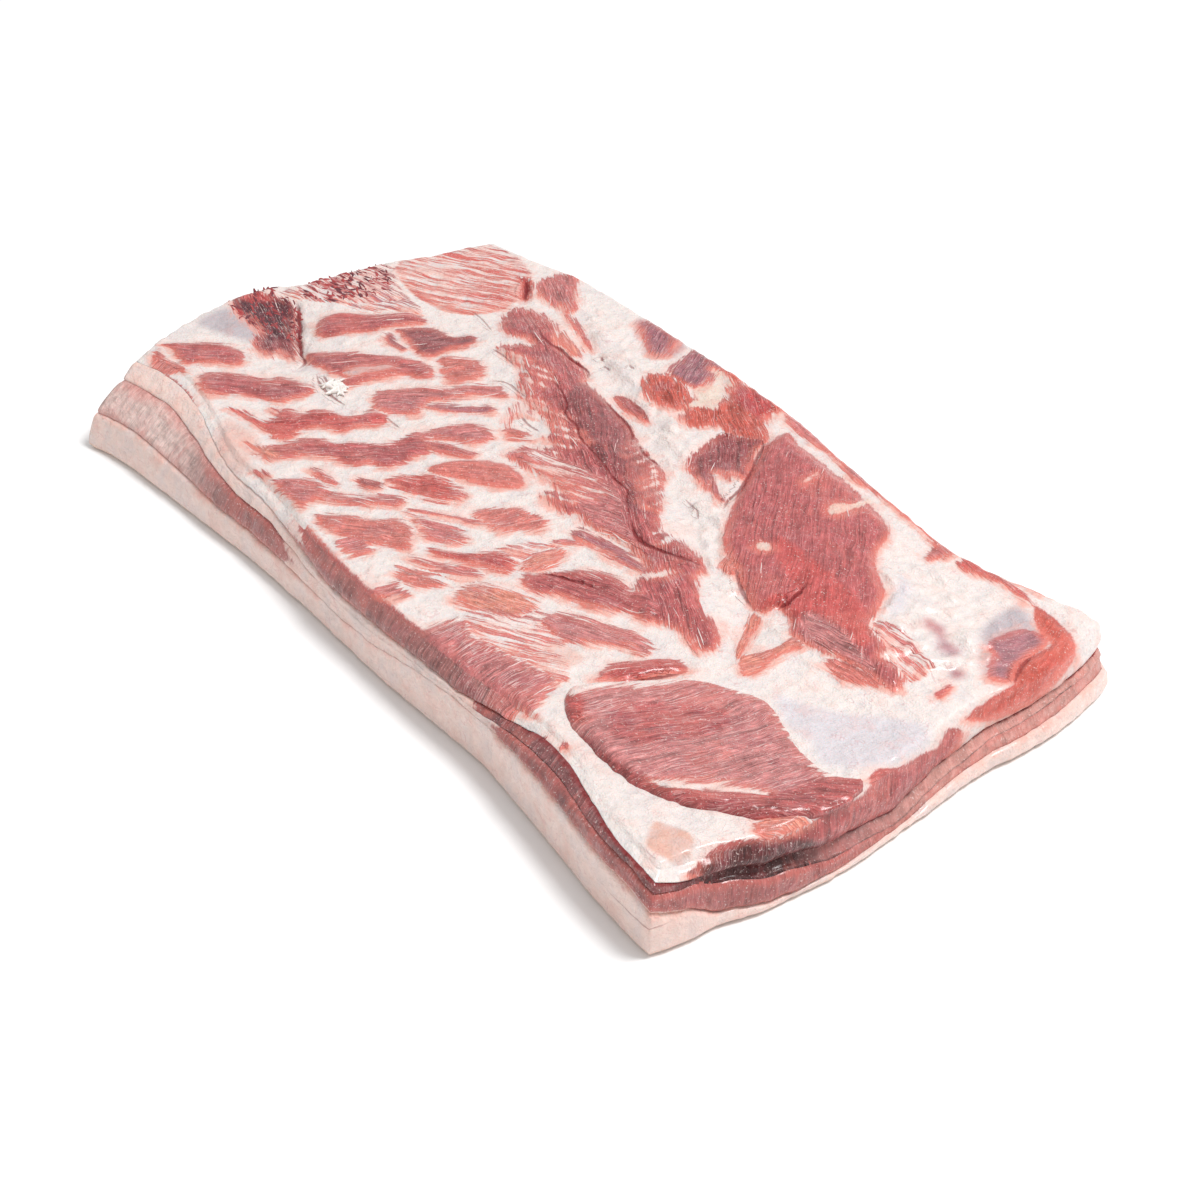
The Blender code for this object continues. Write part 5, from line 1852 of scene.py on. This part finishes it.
def place_facing(data, place, target):
    """A lamp or a camera at a place, turned to a target."""
    made = bpy.data.objects.new(data.name, data)
    made.location = place
    way = Vector(target) - Vector(place)
    made.rotation_euler = way.to_track_quat("-Z", "Y").to_euler()
    bpy.context.scene.collection.objects.link(made)
    return made


class AddStage(bpy.types.Operator):
    """Pale floor, soft lamp, room light and camera"""

    bl_idname = "belly.stage"
    bl_label = "Stage"

    def execute(self, context):
        scene = context.scene
        stage = scene.belly_stage
        half = stage.floor_size / 2
        mesh = bpy.data.meshes.new("floor")
        mesh.from_pydata([(x * half, y * half, FLOOR_HEIGHT)
                          for x, y in ((-1, -1), (1, -1), (1, 1), (-1, 1))],
                         [], [(0, 1, 2, 3)])
        white, tree, shader = new_material("pale_floor")
        feed(tree, shader, {"Base Color": (0.95, 0.95, 0.95, 1), "Roughness": 0.8,
                            "Specular IOR Level": 0.1})
        add_piece("floor", mesh, white)

        world = bpy.data.worlds.new("room")
        scene.world = world
        world.use_nodes = True
        feed(world.node_tree, world.node_tree.nodes["Background"].inputs,
             {"Color": (1, 1, 1, 1), "Strength": stage.sky})

        lamp = bpy.data.lights.new("softbox", "AREA")
        lamp.shape = "DISK"
        lamp.size = LAMP_SIZE
        lamp.energy = stage.lamp_power
        place_facing(lamp, LAMP_PLACE, (0, 0, 0))
        lens = bpy.data.cameras.new("camera")
        lens.lens = CAMERA_LENS
        scene.camera = place_facing(lens, VIEW_POINT, CAMERA_TARGET)
        scene.view_settings.view_transform = "Standard"
        return {"FINISHED"}


SETTINGS = (("belly_sizes", BellySizes), ("belly_colours", BellyColours),
            ("belly_details", BellyDetails), ("belly_stage", BellyStage))
OPERATORS = (AddFatCap, AddLowerLean, AddSeamFat, AddRibSide, AddNearMuscle, AddStrands,
             AddShreds, AddTuft, AddStage)


class BellyPanel(bpy.types.Panel):
    """Lists the settings and the pieces in the order they are built"""

    bl_idname = "VIEW3D_PT_belly"
    bl_label = "Pork Belly Slab"
    bl_space_type = "VIEW_3D"
    bl_region_type = "UI"
    bl_category = "Pork Belly"

    def draw(self, context):
        for key, _ in SETTINGS:
            group = getattr(context.scene, key)
            box = self.layout.box()
            for name in group.__annotations__:
                box.prop(group, name)
        for operator in OPERATORS:
            self.layout.operator(operator.bl_idname)


def register():
    for key, group in SETTINGS:
        bpy.utils.register_class(group)
        setattr(bpy.types.Scene, key, bpy.props.PointerProperty(type=group))
    for part in (*OPERATORS, BellyPanel):
        bpy.utils.register_class(part)


def unregister():
    for part in reversed((*OPERATORS, BellyPanel)):
        bpy.utils.unregister_class(part)
    for key, group in reversed(SETTINGS):
        delattr(bpy.types.Scene, key)
        bpy.utils.unregister_class(group)


def main():
    register()
    for operator in OPERATORS:
        group, name = operator.bl_idname.split(".")
        getattr(getattr(bpy.ops, group), name)()


if __name__ == "__main__":
    main()
